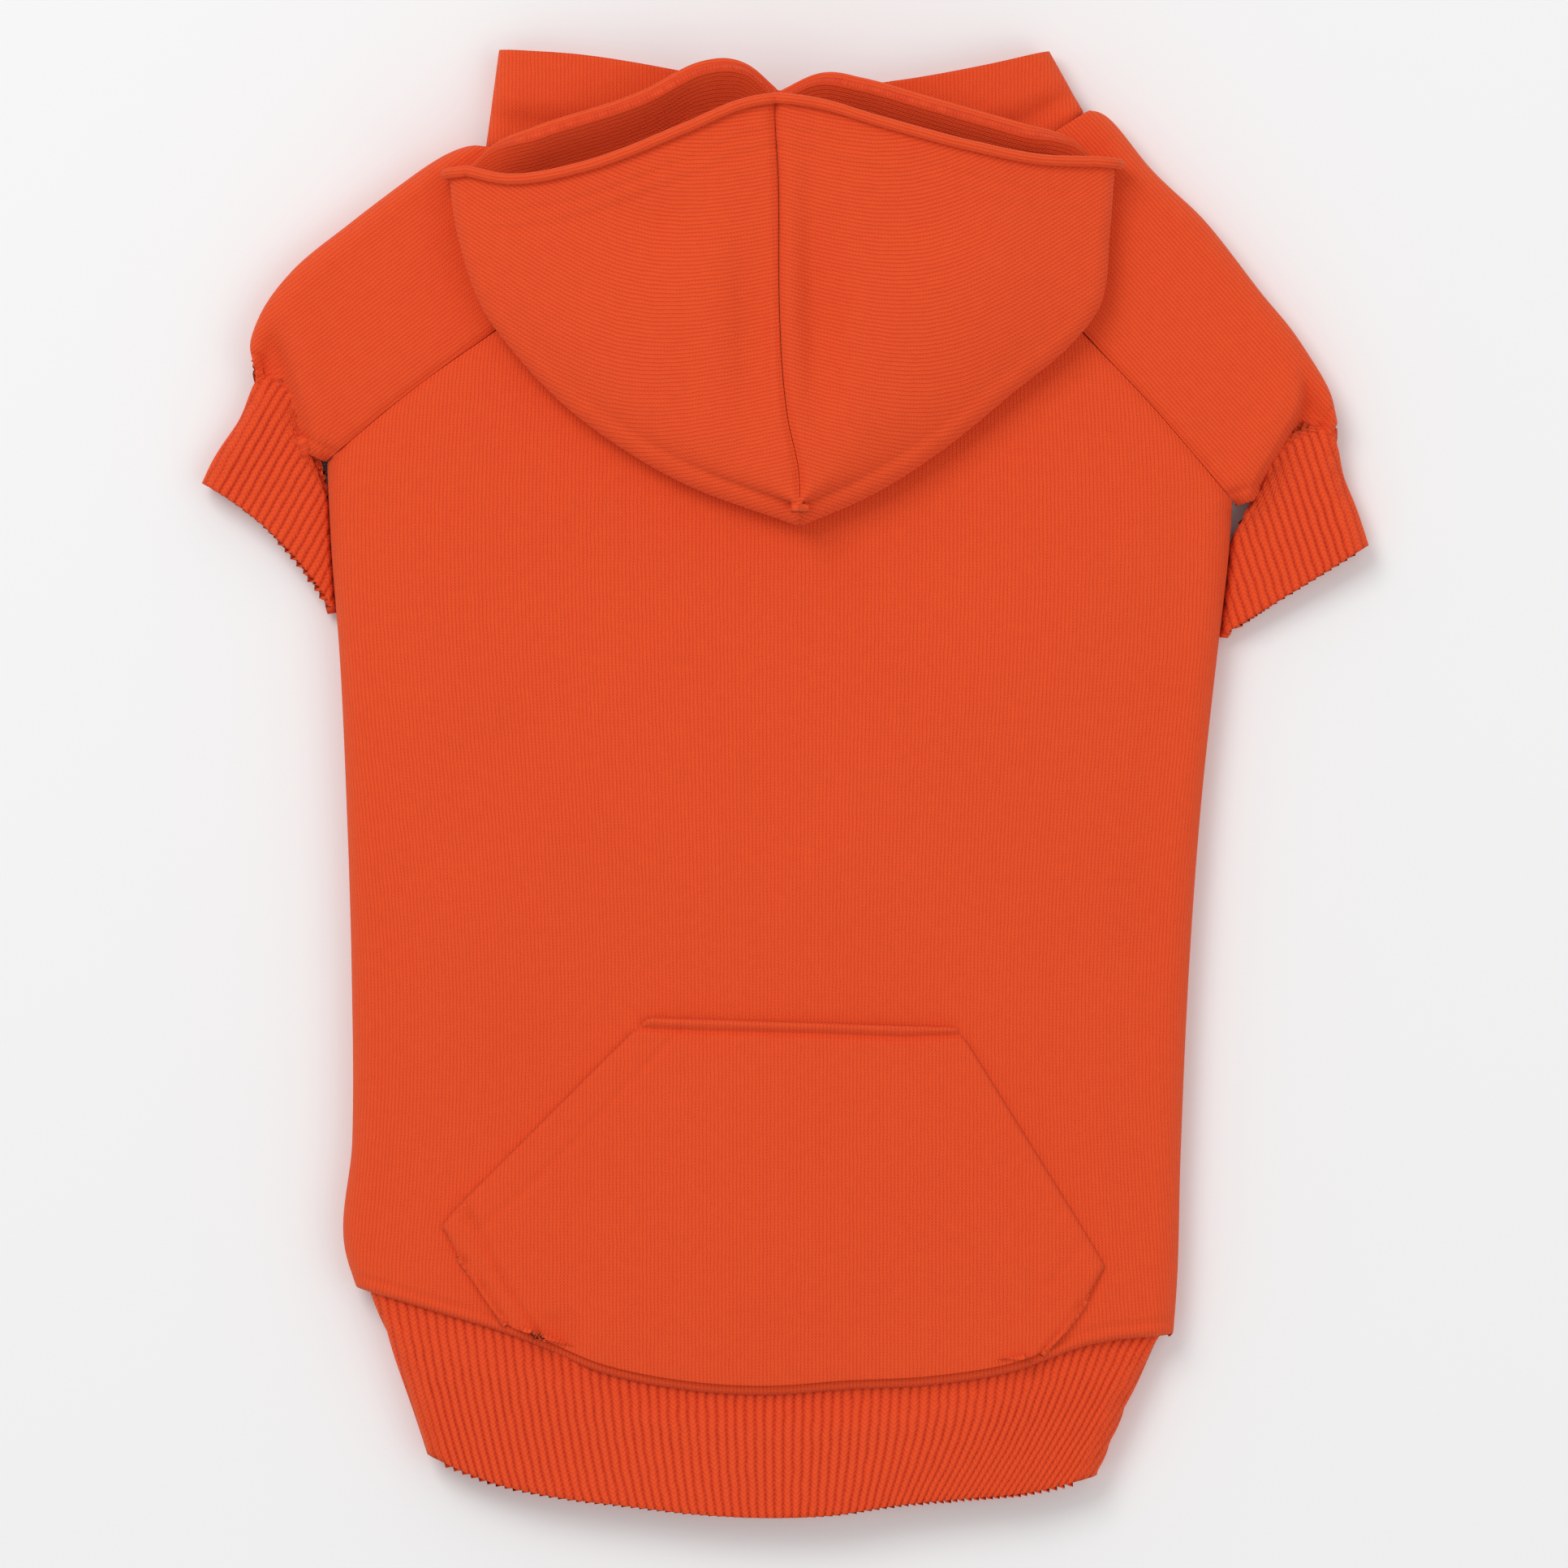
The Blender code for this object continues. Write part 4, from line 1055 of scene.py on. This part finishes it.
def hood_plan(side, rim, q, v):
    """Plan of one layer of a hood half: q from the seam to the fold, v from the rim to the tip."""
    unit_x, unit_y = HOOD_WIDTH / 2, HOOD_LENGTH
    fold_inset = HOOD_FOLD / 2

    def seam(down):
        return np.stack([smooth(HOOD_SEAM, "x", down, by="down") * unit_x, -down * unit_y], axis=-1)

    def fold(at):
        point = place(HOOD_EDGE, side, at, unit_x, unit_y)
        step = 0.01
        ahead = place(HOOD_EDGE, side, at + step, unit_x, unit_y)
        behind = place(HOOD_EDGE, side, at - step, unit_x, unit_y)
        along = (ahead - behind) / np.hypot(*np.moveaxis(ahead - behind, -1, 0))[..., None]
        out = np.stack([along[..., 1], -along[..., 0]], axis=-1) * -side
        return point - out * fold_inset, out

    q_column = np.asarray(q)[:, None]
    rim_start = rim[SIDE_NAMES[side] + "_y"][0]
    rim_line = place(rim, side, q, unit_x, unit_y)
    end_fold, out = fold(np.array([0.0, 1.0, v]))
    corner, tip, edge = end_fold
    rim_end = place(rim, side, 1.0, unit_x, unit_y)
    rim_line = rim_line + (corner - rim_end) * q_column
    low_turn = seam(SEAM_TURN)
    tail = low_turn + (tip - low_turn) * q_column
    top_seam = seam(-rim_start)
    middle = seam(-rim_start + (SEAM_TURN + rim_start) * v)
    flat = (
        (1 - v) * rim_line
        + v * tail
        + (1 - q_column) * middle
        + q_column * edge
        - (1 - q_column) * (1 - v) * top_seam
        - q_column * (1 - v) * corner
        - (1 - q_column) * v * low_turn
        - q_column * v * tip
    )
    return flat, out[2]


# Way that the hood's wales run: parallel to the rim near the seam, and to the lower outline
# towards the fold. Angles in degrees below the horizontal, out from the seam.
HOOD_GRAIN = {LEFT: (13.0, -34.0), RIGHT: (17.0, -33.0)}
GRAIN_MEET = (0.42, -0.42)
GRAIN_BLEND = 0.007


def hood_grain(side, x, y):
    """Distance across the wales of a hood half, at plan places measured from its rim."""
    out = side * x
    falls, rises = np.radians(HOOD_GRAIN[side])
    meet_x = GRAIN_MEET[0] * HOOD_WIDTH / 2
    meet_y = GRAIN_MEET[1] * HOOD_LENGTH
    inner = -(out - meet_x) * np.sin(falls) - (y - meet_y) * np.cos(falls)
    outer = -(out - meet_x) * np.sin(rises) - (y - meet_y) * np.cos(rises)
    return np.logaddexp(inner / GRAIN_BLEND, outer / GRAIN_BLEND) * GRAIN_BLEND


def hood_base(flat):
    return top_height(flat[:, 0], flat[:, 1], PUFF_REACH) + REST_GAP


def hood_rim_drop(flat_y, rim_y):
    return np.clip(rim_y - flat_y, 0, None)


def hood_piece(side, look, material, rim_material):
    """Half of the hood, folded at the outline, with its mouth at the rim and its hem rolled."""
    top_q = np.concatenate([np.linspace(0, 0.08, 10)[:-1], np.linspace(0.08, 1, 96)])
    low_q = np.linspace(0, 1, 70)
    turn = np.linspace(np.pi / 2, -np.pi / 2, 13)[1:-1]
    origin = np.array([0.0, hood_origin_y()])
    radius = HOOD_FOLD / 2
    points, knit = [], []
    rows = np.concatenate([np.linspace(0, 0.09, 14)[:-1], np.linspace(0.09, 1, 96)])
    for v in rows:
        flat, out = hood_plan(side, HOOD_RIM, top_q, v)
        local = flat.copy()
        shape = (1 - top_q**HOOD_ROUND) * (1 - HOOD_TIP_DROP * v)
        bumps = dents(HOOD_DENTS, local[:, 0], local[:, 1], HOOD_WIDTH / 2, HOOD_LENGTH)
        fine = dents(HOOD_FOLDS, local[:, 0], local[:, 1], HOOD_WIDTH / 2, HOOD_LENGTH)
        flat = flat + origin
        base = hood_base(flat)
        puff = HOOD_PUFF * look.hood_puff * (shape + (bumps + fine) * (1 - top_q**4))
        seam_far = side * (flat[:, 0] - hood_seam_x(local[:, 1]))
        height = base + HOOD_FOLD + puff + groove(seam_far, 0.0012, 0.0012)
        rim_far = rim_distance(side, local)
        for at in HOOD_STITCH_ROWS:
            height = height + groove(rim_far - at, 0.0007, 0.00035) * ease((1 - top_q) / 0.1)
        top = np.column_stack([flat, height])
        fold_flat = flat[-1] + np.outer(np.cos(turn), out) * radius
        fold_z = base[-1] + radius + (radius + (height[-1] - base[-1] - HOOD_FOLD) / 2) * np.sin(turn)
        fold = np.column_stack([fold_flat, fold_z])
        flat, _ = hood_plan(side, HOOD_FAR_RIM, low_q, v)
        low_local = flat.copy()
        flat = flat + origin
        base = hood_base(flat)
        curl = RIM_CURL * np.clip(1 - v / CURL_REACH, 0, 1) ** 1.5
        ends = ease((1 - low_q) / CURL_EDGE) * (CURL_LOW + (1 - CURL_LOW) * ease(low_q / CURL_EDGE))
        low = np.column_stack([flat, base + curl * ends])
        row = np.concatenate([top, fold, low[::-1]])
        middle = hood_seam_x(row[:, 1] - origin[1])
        clear = SEAM_CLEAR * 0.5
        row[:, 0] = middle + side * np.maximum(side * (row[:, 0] - middle), clear)
        points.append(row)
        plan = np.concatenate([local, fold_flat - origin, low_local[::-1]])
        wales = hood_grain(side, plan[:, 0], plan[:, 1])
        below = v * HOOD_LENGTH
        count = len(top) + len(turn)
        wales = np.where(np.arange(len(row)) >= count, below, wales)
        knit.append(np.column_stack([wales, row[:, 0]]))
    points, knit = np.array(points), np.array(knit)
    rim_top = points[0]
    if side == RIGHT:
        points, knit = points[:, ::-1], knit[:, ::-1]
    name = "hood_" + SIDE_NAMES[side]
    piece = cloth(name + "_cloth", points, knit, FLEECE, material)
    declare(piece, name, (0.155, 0.108))
    roll = rolled_edge(name + "_rim", rim_top, FLEECE / 2, RIM_ROLL, rim_material, side)
    trim(roll)
    return piece, roll


# Finer dents and ridges of the hood than the solids have, in the same shares
HOOD_FOLDS = table(
    "x y reach_x reach_y rise",
    (0.085, -0.42, 0.035, 0.26, -0.16),
    (-0.060, -0.55, 0.030, 0.24, -0.10),
    (-0.150, -0.55, 0.035, 0.20, 0.06),
    (-0.270, -0.62, 0.060, 0.18, -0.10),
    (-0.500, -0.28, 0.200, 0.05, -0.08),
    (-0.600, -0.55, 0.180, 0.08, 0.06),
    (0.300, -0.75, 0.160, 0.08, 0.07),
    (0.450, -0.30, 0.200, 0.06, -0.05),
    (0.860, -0.56, 0.060, 0.09, 0.07),
    (0.050, -0.90, 0.060, 0.06, -0.10),
)
HOOD_STITCH_ROWS = (0.0070, 0.0110)


def rim_line(side, rim, count=60):
    points = place(rim, side, np.linspace(0, 1, count), HOOD_WIDTH / 2, HOOD_LENGTH)
    return points


def rim_distance(side, local):
    """Distance below the hood's near rim."""
    signed, _ = beside(rim_line(side, HOOD_RIM), local[:, 0], local[:, 1])
    return signed * side * -1


def rolled_edge(name, line, inset, radius, material, turn_way, sides=12):
    """A rolled hem along a free edge of cloth: a round bead with the wales running along it."""
    line = resample(line, 0.0008)
    tangents = np.gradient(line, axis=0)
    tangents /= np.linalg.norm(tangents, axis=1)[:, None] + TINY
    up = np.cross(tangents, np.array([0.0, -1.0, 0.0])) * turn_way
    up /= np.linalg.norm(up, axis=1)[:, None] + TINY
    side_way = np.cross(up, tangents)
    turn = np.linspace(0, 2 * np.pi, sides, endpoint=False)
    centre = line - up * inset
    ring = (
        centre[:, None]
        + (side_way[:, None] * np.cos(turn)[:, None] + up[:, None] * np.sin(turn)[:, None]) * radius
    )
    lengths = np.concatenate([[0], np.cumsum(np.linalg.norm(np.diff(line, axis=0), axis=1))])
    around = np.linspace(0, 2 * np.pi * radius, sides + 1)
    knit = np.stack(np.broadcast_arrays(around[None, :], lengths[:, None]), axis=-1)
    return cloth(name, ring, knit, 0.0, material, joined=True)
PIXEL = 0.000185


def at_photo(*points):
    """Plan places from pairs that count pixels of the photograph's width and height."""
    points = np.array(points, float)
    return np.stack([(points[:, 0] - 960) * PIXEL, (215 - points[:, 1]) * PIXEL], axis=-1)


def pocket_piece(look, material):
    """The kangaroo pocket, sewn on the back above the hem, with its top turned down."""
    rows = np.concatenate([np.linspace(0, 0.9, 96), np.linspace(0.9, 1, 24)[1:]])
    across = np.linspace(0, 1, 150)
    half = POCKET_WIDTH / 2
    hem_y = body_y(0.0, 0.0)
    outline = pocket_outline()
    points, knit = [], []
    for along in rows:
        left = place(POCKET, LEFT, along, half, POCKET_LENGTH, straight)
        right = place(POCKET, RIGHT, along, half, POCKET_LENGTH, straight)
        flat = left + across[:, None] * (right - left)
        x = flat[:, 0] + POCKET_SHIFT * half
        share = 2 * (x - side_x(LEFT, 0)) / (side_x(RIGHT, 0) - side_x(LEFT, 0)) - 1
        chord_y = left[1] + across * (right[1] - left[1])
        seam_y = body_y(share, 0) - hem_y + POCKET_UP
        low = ease(1 - along / POCKET_CURVE_REACH)
        y = hem_y + chord_y + (seam_y - chord_y) * low
        inside = np.sin(np.pi * across) * np.sin(np.pi * along)
        z = back_height(x, y, body_edge(x, y)) + POCKET_WALL + POCKET_PUFF * look.pocket_puff * inside
        z = z + pocket_relief(x, y, outline)
        points.append(np.column_stack([x, y, z]))
        knit.append(np.column_stack([x, y]))
    piece = cloth("pocket_cloth", np.array(points), np.array(knit), POCKET_WALL, material)
    declare(piece, "pocket", (0.152, 0.094))
    return piece


POCKET_UP = 0.0022
POCKET_WALL = 0.0015
POCKET_LINES = {
    "band": at_photo((761, 1264), (850, 1268), (1000, 1272), (1108, 1276), (1186, 1273)),
    "left_strip": at_photo((560, 1467), (585, 1512), (625, 1585), (661, 1639)),
    "left_stitch": at_photo((836, 1266), (770, 1335), (701, 1410), (650, 1458), (595, 1507)),
    "right_stitch": at_photo((1120, 1289), (1150, 1337), (1177, 1381), (1200, 1422), (1218, 1456),
                             (1245, 1500), (1269, 1536), (1270, 1575), (1266, 1610)),
    "right_low": at_photo((1332, 1524), (1310, 1553), (1286, 1582)),
}


def pocket_outline():
    """The pocket's free edges: the hem side is left out."""
    half = POCKET_WIDTH / 2
    hem_y = body_y(0.0, 0.0)
    at = POCKET["along"]
    left = place(POCKET, LEFT, at, half, POCKET_LENGTH, straight)
    right = place(POCKET, RIGHT, at, half, POCKET_LENGTH, straight)
    line = np.concatenate([left, right[::-1]])
    return line + np.array([POCKET_SHIFT * half, hem_y])


def pocket_relief(x, y, outline):
    """Rounded edges, the turned band at the top and the grooves along the stitching."""
    edge = np.abs(beside(outline, x, y)[0])
    relief = rounded_edge(edge, 0.0011)
    band, _ = beside(POCKET_LINES["band"], x, y)
    relief = relief + 0.0010 * np.exp(-(((band - 0.0023) / 0.0017) ** 2)) + groove(band, 0.0007, 0.0009)
    strip, _ = beside(POCKET_LINES["left_strip"], x, y)
    relief = relief + groove(strip, 0.0007, 0.0008) + 0.0003 * np.exp(-((strip / 0.003) ** 2))
    for name in ("left_stitch", "right_stitch", "right_low"):
        far, _ = beside(POCKET_LINES[name], x, y)
        relief = relief + groove(far, 0.0009, 0.00028)
    return relief
class Sums:
    """A shader socket that adds, multiplies and compares like a number."""

    def __init__(self, tree, socket):
        self.tree = tree
        self.socket = socket

    def math(self, operation, *others):
        node = self.tree.nodes.new("ShaderNodeMath")
        node.operation = operation
        for slot, value in zip(node.inputs, (self, *others)):
            if isinstance(value, Sums):
                self.tree.links.new(value.socket, slot)
            else:
                slot.default_value = value
        return Sums(self.tree, node.outputs[0])

    def __add__(self, other):
        return self.math("ADD", other)

    def __sub__(self, other):
        return self.math("SUBTRACT", other)

    def __mul__(self, other):
        return self.math("MULTIPLY", other)

    def __truediv__(self, other):
        return self.math("DIVIDE", other)

    def __pow__(self, other):
        return self.math("POWER", other)

    def __radd__(self, other):
        return self + other

    def __rmul__(self, other):
        return self * other

    def __rsub__(self, other):
        return self * -1.0 + other

    def __neg__(self):
        return self * -1.0

    def abs(self):
        return self.math("ABSOLUTE")

    def fraction(self):
        return self.math("FRACT")

    def floor(self):
        return self.math("FLOOR")

    def cosine(self):
        return self.math("COSINE")

    def at_least(self, other):
        return self.math("MAXIMUM", other)

    def at_most(self, other):
        return self.math("MINIMUM", other)

    def node(self, kind, output=0, settings=None, **inputs):
        """Any other node, with this socket's tree: settings by name, inputs by name."""
        node = self.tree.nodes.new(kind)
        for key, value in (settings or {}).items():
            setattr(node, key, value)
        for key, value in inputs.items():
            slot = node.inputs[key.replace("_", " ")]
            if isinstance(value, Sums):
                self.tree.links.new(value.socket, slot)
            else:
                slot.default_value = value
        return Sums(self.tree, node.outputs[output])

    def blend(self, low, high):
        """Colour that runs from low to high as this goes from 0 to 1."""
        return mixed(self, low, high)


def mixed(share, low, high):
    """The colour between low and high; low and high are colours, share is a Sums."""
    node = share.tree.nodes.new("ShaderNodeMix")
    node.data_type = "RGBA"
    share.tree.links.new(share.socket, node.inputs[0])
    node.inputs[6].default_value = (*low[:3], 1.0)
    node.inputs[7].default_value = (*high[:3], 1.0)
    return Sums(share.tree, node.outputs[2])


def new_material(name, colour, roughness):
    material = bpy.data.materials.new(name)
    material.use_nodes = True
    tree = material.node_tree
    shader = tree.nodes["Principled BSDF"]
    shader.inputs["Base Color"].default_value = (*colour[:3], 1.0)
    shader.inputs["Roughness"].default_value = roughness
    shader.inputs["Specular IOR Level"].default_value = 0.25
    shader.inputs["Sheen Weight"].default_value = 0.22
    shader.inputs["Sheen Roughness"].default_value = 0.45
    shader.inputs["Sheen Tint"].default_value = (1.0, 0.45, 0.2, 1.0)
    return material, tree, shader


def texture_place(tree):
    node = tree.nodes.new("ShaderNodeUVMap")
    node.uv_map = "Knit"
    split = tree.nodes.new("ShaderNodeSeparateXYZ")
    tree.links.new(node.outputs[0], split.inputs[0])
    return Sums(tree, node.outputs[0]), Sums(tree, split.outputs[0]), Sums(tree, split.outputs[1])


def noise(place, scale, detail=2.0, output=0):
    return place.node("ShaderNodeTexNoise", output, Vector=place, Scale=scale, Detail=detail)


def knit_material(name, colour, shade, look, wale, course, rib=False):
    """Knit cloth: columns of V stitches, one column on each rib of a ribbed band, with painted shade
    between the stitches.
    """
    material, tree, shader = new_material(name, colour, look.cloth_roughness)
    place_3d, u, v = texture_place(tree)
    wander = noise(place_3d, 260.0, 1.0) - 0.5
    column = u / wale + wander * look.knit_unevenness
    across = (column.fraction() - 0.5).abs() * 2.0
    odd = column.floor().node("ShaderNodeTexWhiteNoise", 0, {"noise_dimensions": "1D"},
                              W=column.floor())
    row = v / course + across * -0.9 + odd * (0.35 if rib else 0.6)
    stitch = (row * 6.28318).cosine() * 0.5 + 0.5
    leg = 1.0 - (across - 0.5).abs() * 2.0
    gap = across ** 3.0
    height = leg * 0.35 + stitch * 0.45 + (1.0 - gap) * 0.35
    fuzz = noise(place_3d, 5200.0, 2.0) - 0.5
    mottle = noise(place_3d, 420.0, 3.0) - 0.5
    cloud = noise(place_3d, 28.0, 2.0) - 0.5
    # Painted shade: the colour is pulled towards the shade colour in the gaps between the wales and
    # between the stitches, where shade falls.
    dark = (gap * 0.55 + (1.0 - stitch) * 0.35) * look.knit_contrast
    # Share of the lit colour: the painted shade taken off, with the fibres' fuzz and the random mottle
    # and cloud of tone added.
    light = 1.0 - dark + fuzz * look.fuzz_contrast + mottle * 0.22 + cloud * 0.10
    light = light.at_least(0.0).at_most(1.0)
    tint = light.blend(shade, colour)
    tree.links.new(tint.socket, shader.inputs["Base Color"])
    bump = tree.nodes.new("ShaderNodeBump")
    bump.inputs["Strength"].default_value = look.knit_bump
    bump.inputs["Distance"].default_value = 0.00035
    tree.links.new((height + fuzz * 0.6).socket, bump.inputs["Height"])
    tree.links.new(bump.outputs[0], shader.inputs["Normal"])
    return material


def thread_material(colour):
    material, _, _ = new_material("hoodie thread", colour, 0.7)
    return material


def ground_material(colour):
    material = bpy.data.materials.new("ground")
    material.use_nodes = True
    shader = material.node_tree.nodes["Principled BSDF"]
    shader.inputs["Base Color"].default_value = (*colour[:3], 1.0)
    shader.inputs["Roughness"].default_value = 0.9
    shader.inputs["Specular IOR Level"].default_value = 0.1
    return material
def wanted(name, default, description, low=0.0, high=4.0):
    return bpy.props.FloatProperty(name=name, description=description, default=default, min=low,
                                   max=high)


def length(name, default, description):
    return bpy.props.FloatProperty(name=name, description=description, default=default, min=0.0,
                                   unit="LENGTH", precision=5)


def tint(name, default, description):
    return bpy.props.FloatVectorProperty(name=name, description=description, default=default,
                                         subtype="COLOR", size=3, min=0.0, max=1.0)


class HoodieLook(bpy.types.PropertyGroup):
    """Sizes and colours of the cloth."""

    # The fleece and rib colours are the lit colours; their shade colours are painted shade that fills the
    # gaps between the stitches.
    fleece_colour: tint("Fleece", (0.93, 0.098, 0.020), "Colour of the fleece where it is lit")
    fleece_shade: tint("Fleece shade", (0.62, 0.030, 0.010), "Colour between the fleece's stitches")
    rib_colour: tint("Rib", (0.90, 0.088, 0.018), "Colour of the ribbed bands where they are lit")
    rib_shade: tint("Rib shade", (0.52, 0.022, 0.008), "Colour between the ribs' stitches")
    thread_colour: tint("Thread", (0.88, 0.080, 0.018), "Colour of the stitching")
    cloth_roughness: wanted("Roughness", 0.9, "Roughness of the cloth", high=1.0)
    wale: length("Wale", 0.00085, "Width of one column of stitches")
    course: length("Course", 0.00072, "Height of one stitch")
    # Strength of the painted shade between the stitches.
    knit_contrast: wanted("Knit contrast", 0.9, "How dark the cloth is between its stitches")
    knit_bump: wanted("Knit relief", 0.55, "How far the stitches stand out", high=1.0)
    knit_unevenness: wanted("Unevenness", 0.5, "How far the columns of stitches wander")
    fuzz_contrast: wanted("Fuzz", 0.35, "How much the fine fibres break up the colour")
    rib_relief: wanted("Rib relief", 1.0, "Depth between the ribs, in shares of the real depth")
    hem_roll: length("Hem roll", 0.0017, "Radius of the rounded edge over the hem band")
    hood_puff: wanted("Hood puff", 1.0, "How far the hood stands up")
    pocket_puff: wanted("Pocket puff", 1.0, "How far the pocket stands up")


class StageLook(bpy.types.PropertyGroup):
    """Light, ground and camera."""

    ground_colour: tint("Ground", (0.92, 0.92, 0.92), "Colour of the surface that it lies on")
    sky: wanted("Sky light", 0.62, "Strength of the even light from all around")
    key: wanted("Main light", 12.5, "Power of the large light, in watts", high=100.0)
    fill: wanted("Second light", 3.0, "Power of the fill light, in watts", high=100.0)
    view_width: length("View width", 0.35742, "Width that the camera sees at the cloth")


def shared_material(kind):
    """The material of that kind, made once from the panel's values."""
    found = bpy.data.materials.get("hoodie " + kind)
    if found:
        return found
    look = bpy.context.scene.hoodie_look
    if kind == "fleece":
        return knit_material("hoodie fleece", look.fleece_colour, look.fleece_shade, look, look.wale,
                             look.course)
    if kind == "rib":
        return knit_material("hoodie rib", look.rib_colour, look.rib_shade, look, RIB_PITCH, 0.00105,
                             rib=True)
    return thread_material(look.thread_colour)


class BuildOperator:
    """What every operator here shares."""

    bl_options = {"REGISTER", "UNDO"}

    def execute(self, context):
        self.build(context)
        return {"FINISHED"}


class HOODIE_OT_body(BuildOperator, bpy.types.Operator):
    """Build the back and belly panels"""

    bl_idname = "hoodie.body"
    bl_label = "Body"

    def build(self, context):
        belly_piece(shared_material("fleece"))
        back_piece(context.scene.hoodie_look, shared_material("fleece"))


class HOODIE_OT_sleeves(BuildOperator, bpy.types.Operator):
    """Build both raglan sleeves"""

    bl_idname = "hoodie.sleeves"
    bl_label = "Sleeves"

    def build(self, context):
        for side in (LEFT, RIGHT):
            sleeve_piece(side, shared_material("fleece"))


class HOODIE_OT_cuffs(BuildOperator, bpy.types.Operator):
    """Build both ribbed cuffs"""

    bl_idname = "hoodie.cuffs"
    bl_label = "Cuffs"

    def build(self, context):
        for side in (LEFT, RIGHT):
            cuff_piece(side, context.scene.hoodie_look, shared_material("rib"))


class HOODIE_OT_hem(BuildOperator, bpy.types.Operator):
    """Build the ribbed hem band"""

    bl_idname = "hoodie.hem"
    bl_label = "Hem band"

    def build(self, context):
        hem_piece(context.scene.hoodie_look, shared_material("rib"))


class HOODIE_OT_neck(BuildOperator, bpy.types.Operator):
    """Build the short neck under the hood"""

    bl_idname = "hoodie.neck"
    bl_label = "Neck"

    def build(self, context):
        neck_piece(shared_material("fleece"))


class HOODIE_OT_hood(BuildOperator, bpy.types.Operator):
    """Build the hood's two halves and their rolled rims"""

    bl_idname = "hoodie.hood"
    bl_label = "Hood"

    def build(self, context):
        for side in (LEFT, RIGHT):
            hood_piece(side, context.scene.hoodie_look, shared_material("fleece"),
                       shared_material("fleece"))


class HOODIE_OT_pocket(BuildOperator, bpy.types.Operator):
    """Build the pocket"""

    bl_idname = "hoodie.pocket"
    bl_label = "Pocket"

    def build(self, context):
        pocket_piece(context.scene.hoodie_look, shared_material("fleece"))


class HOODIE_OT_stage(BuildOperator, bpy.types.Operator):
    """Set up the ground, the lights and the camera"""

    bl_idname = "hoodie.stage"
    bl_label = "Stage"

    def build(self, context):
        build_stage(context)


GROUND_SIZE = 6.0
CAMERA_HEIGHT = 2.4
SENSOR = 0.036
CAMERA_AT = (-0.00037, -0.00019)


def add_area(name, spot, size, power, colour):
    data = bpy.data.lights.new(name, "AREA")
    data.shape = "RECTANGLE"
    data.size, data.size_y = size
    data.energy = power
    data.color = colour
    light = bpy.data.objects.new(name, data)
    light.location = spot
    light.rotation_euler = (-Vector(spot)).to_track_quat("-Z", "Y").to_euler()
    bpy.context.scene.collection.objects.link(light)


def build_stage(context):
    stage = context.scene.hoodie_stage
    half = GROUND_SIZE / 2
    mesh = bpy.data.meshes.new("ground")
    mesh.from_pydata([(-half, -half, 0), (half, -half, 0), (half, half, 0), (-half, half, 0)], [],
                     [(0, 1, 2, 3)])
    mesh.materials.append(ground_material(stage.ground_colour))
    ground = bpy.data.objects.new("ground", mesh)
    ground.location.z = -0.0002
    context.scene.collection.objects.link(ground)
    world = bpy.data.worlds.new("Studio")
    world.use_nodes = True
    sky = world.node_tree.nodes["Background"]
    sky.inputs["Color"].default_value = (1.0, 1.0, 1.0, 1.0)
    sky.inputs["Strength"].default_value = stage.sky
    context.scene.world = world
    add_area("main light", (-0.7, 0.9, 1.5), (0.9, 0.9), stage.key, (1.0, 1.0, 1.0))
    add_area("second light", (0.9, -0.2, 1.3), (0.9, 0.9), stage.fill, (1.0, 1.0, 1.0))
    data = bpy.data.cameras.new("camera")
    data.sensor_width = SENSOR * 1000
    data.lens = SENSOR * 1000 * CAMERA_HEIGHT / stage.view_width
    camera = bpy.data.objects.new("camera", data)
    camera.location = (*CAMERA_AT, CAMERA_HEIGHT)
    context.scene.collection.objects.link(camera)
    context.scene.camera = camera
    context.scene.view_settings.view_transform = "Standard"


class HOODIE_PT_panel(bpy.types.Panel):
    """The hoodie's values and the buttons that build its pieces"""

    bl_label = "Dog hoodie"
    bl_idname = "HOODIE_PT_panel"
    bl_space_type = "VIEW_3D"
    bl_region_type = "UI"
    bl_category = "Hoodie"

    def draw(self, context):
        for group in (context.scene.hoodie_look, context.scene.hoodie_stage):
            box = self.layout.box()
            for name in group.__annotations__:
                box.prop(group, name)
        for operator in OPERATORS:
            self.layout.operator(operator.bl_idname)


GROUPS = (HoodieLook, StageLook)
OPERATORS = (
    HOODIE_OT_body,
    HOODIE_OT_sleeves,
    HOODIE_OT_cuffs,
    HOODIE_OT_hem,
    HOODIE_OT_neck,
    HOODIE_OT_hood,
    HOODIE_OT_pocket,
    HOODIE_OT_stage,
)


def register():
    for kind in (*GROUPS, *OPERATORS, HOODIE_PT_panel):
        bpy.utils.register_class(kind)
    bpy.types.Scene.hoodie_look = bpy.props.PointerProperty(type=HoodieLook)
    bpy.types.Scene.hoodie_stage = bpy.props.PointerProperty(type=StageLook)


def unregister():
    del bpy.types.Scene.hoodie_look
    del bpy.types.Scene.hoodie_stage
    for kind in reversed((*GROUPS, *OPERATORS, HOODIE_PT_panel)):
        bpy.utils.unregister_class(kind)


def main():
    register()
    for step in (bpy.ops.hoodie.body, bpy.ops.hoodie.sleeves, bpy.ops.hoodie.cuffs,
                 bpy.ops.hoodie.hem, bpy.ops.hoodie.neck, bpy.ops.hoodie.hood,
                 bpy.ops.hoodie.pocket, bpy.ops.hoodie.stage):
        step()
    bpy.context.view_layer.update()


if __name__ == "__main__":
    main()
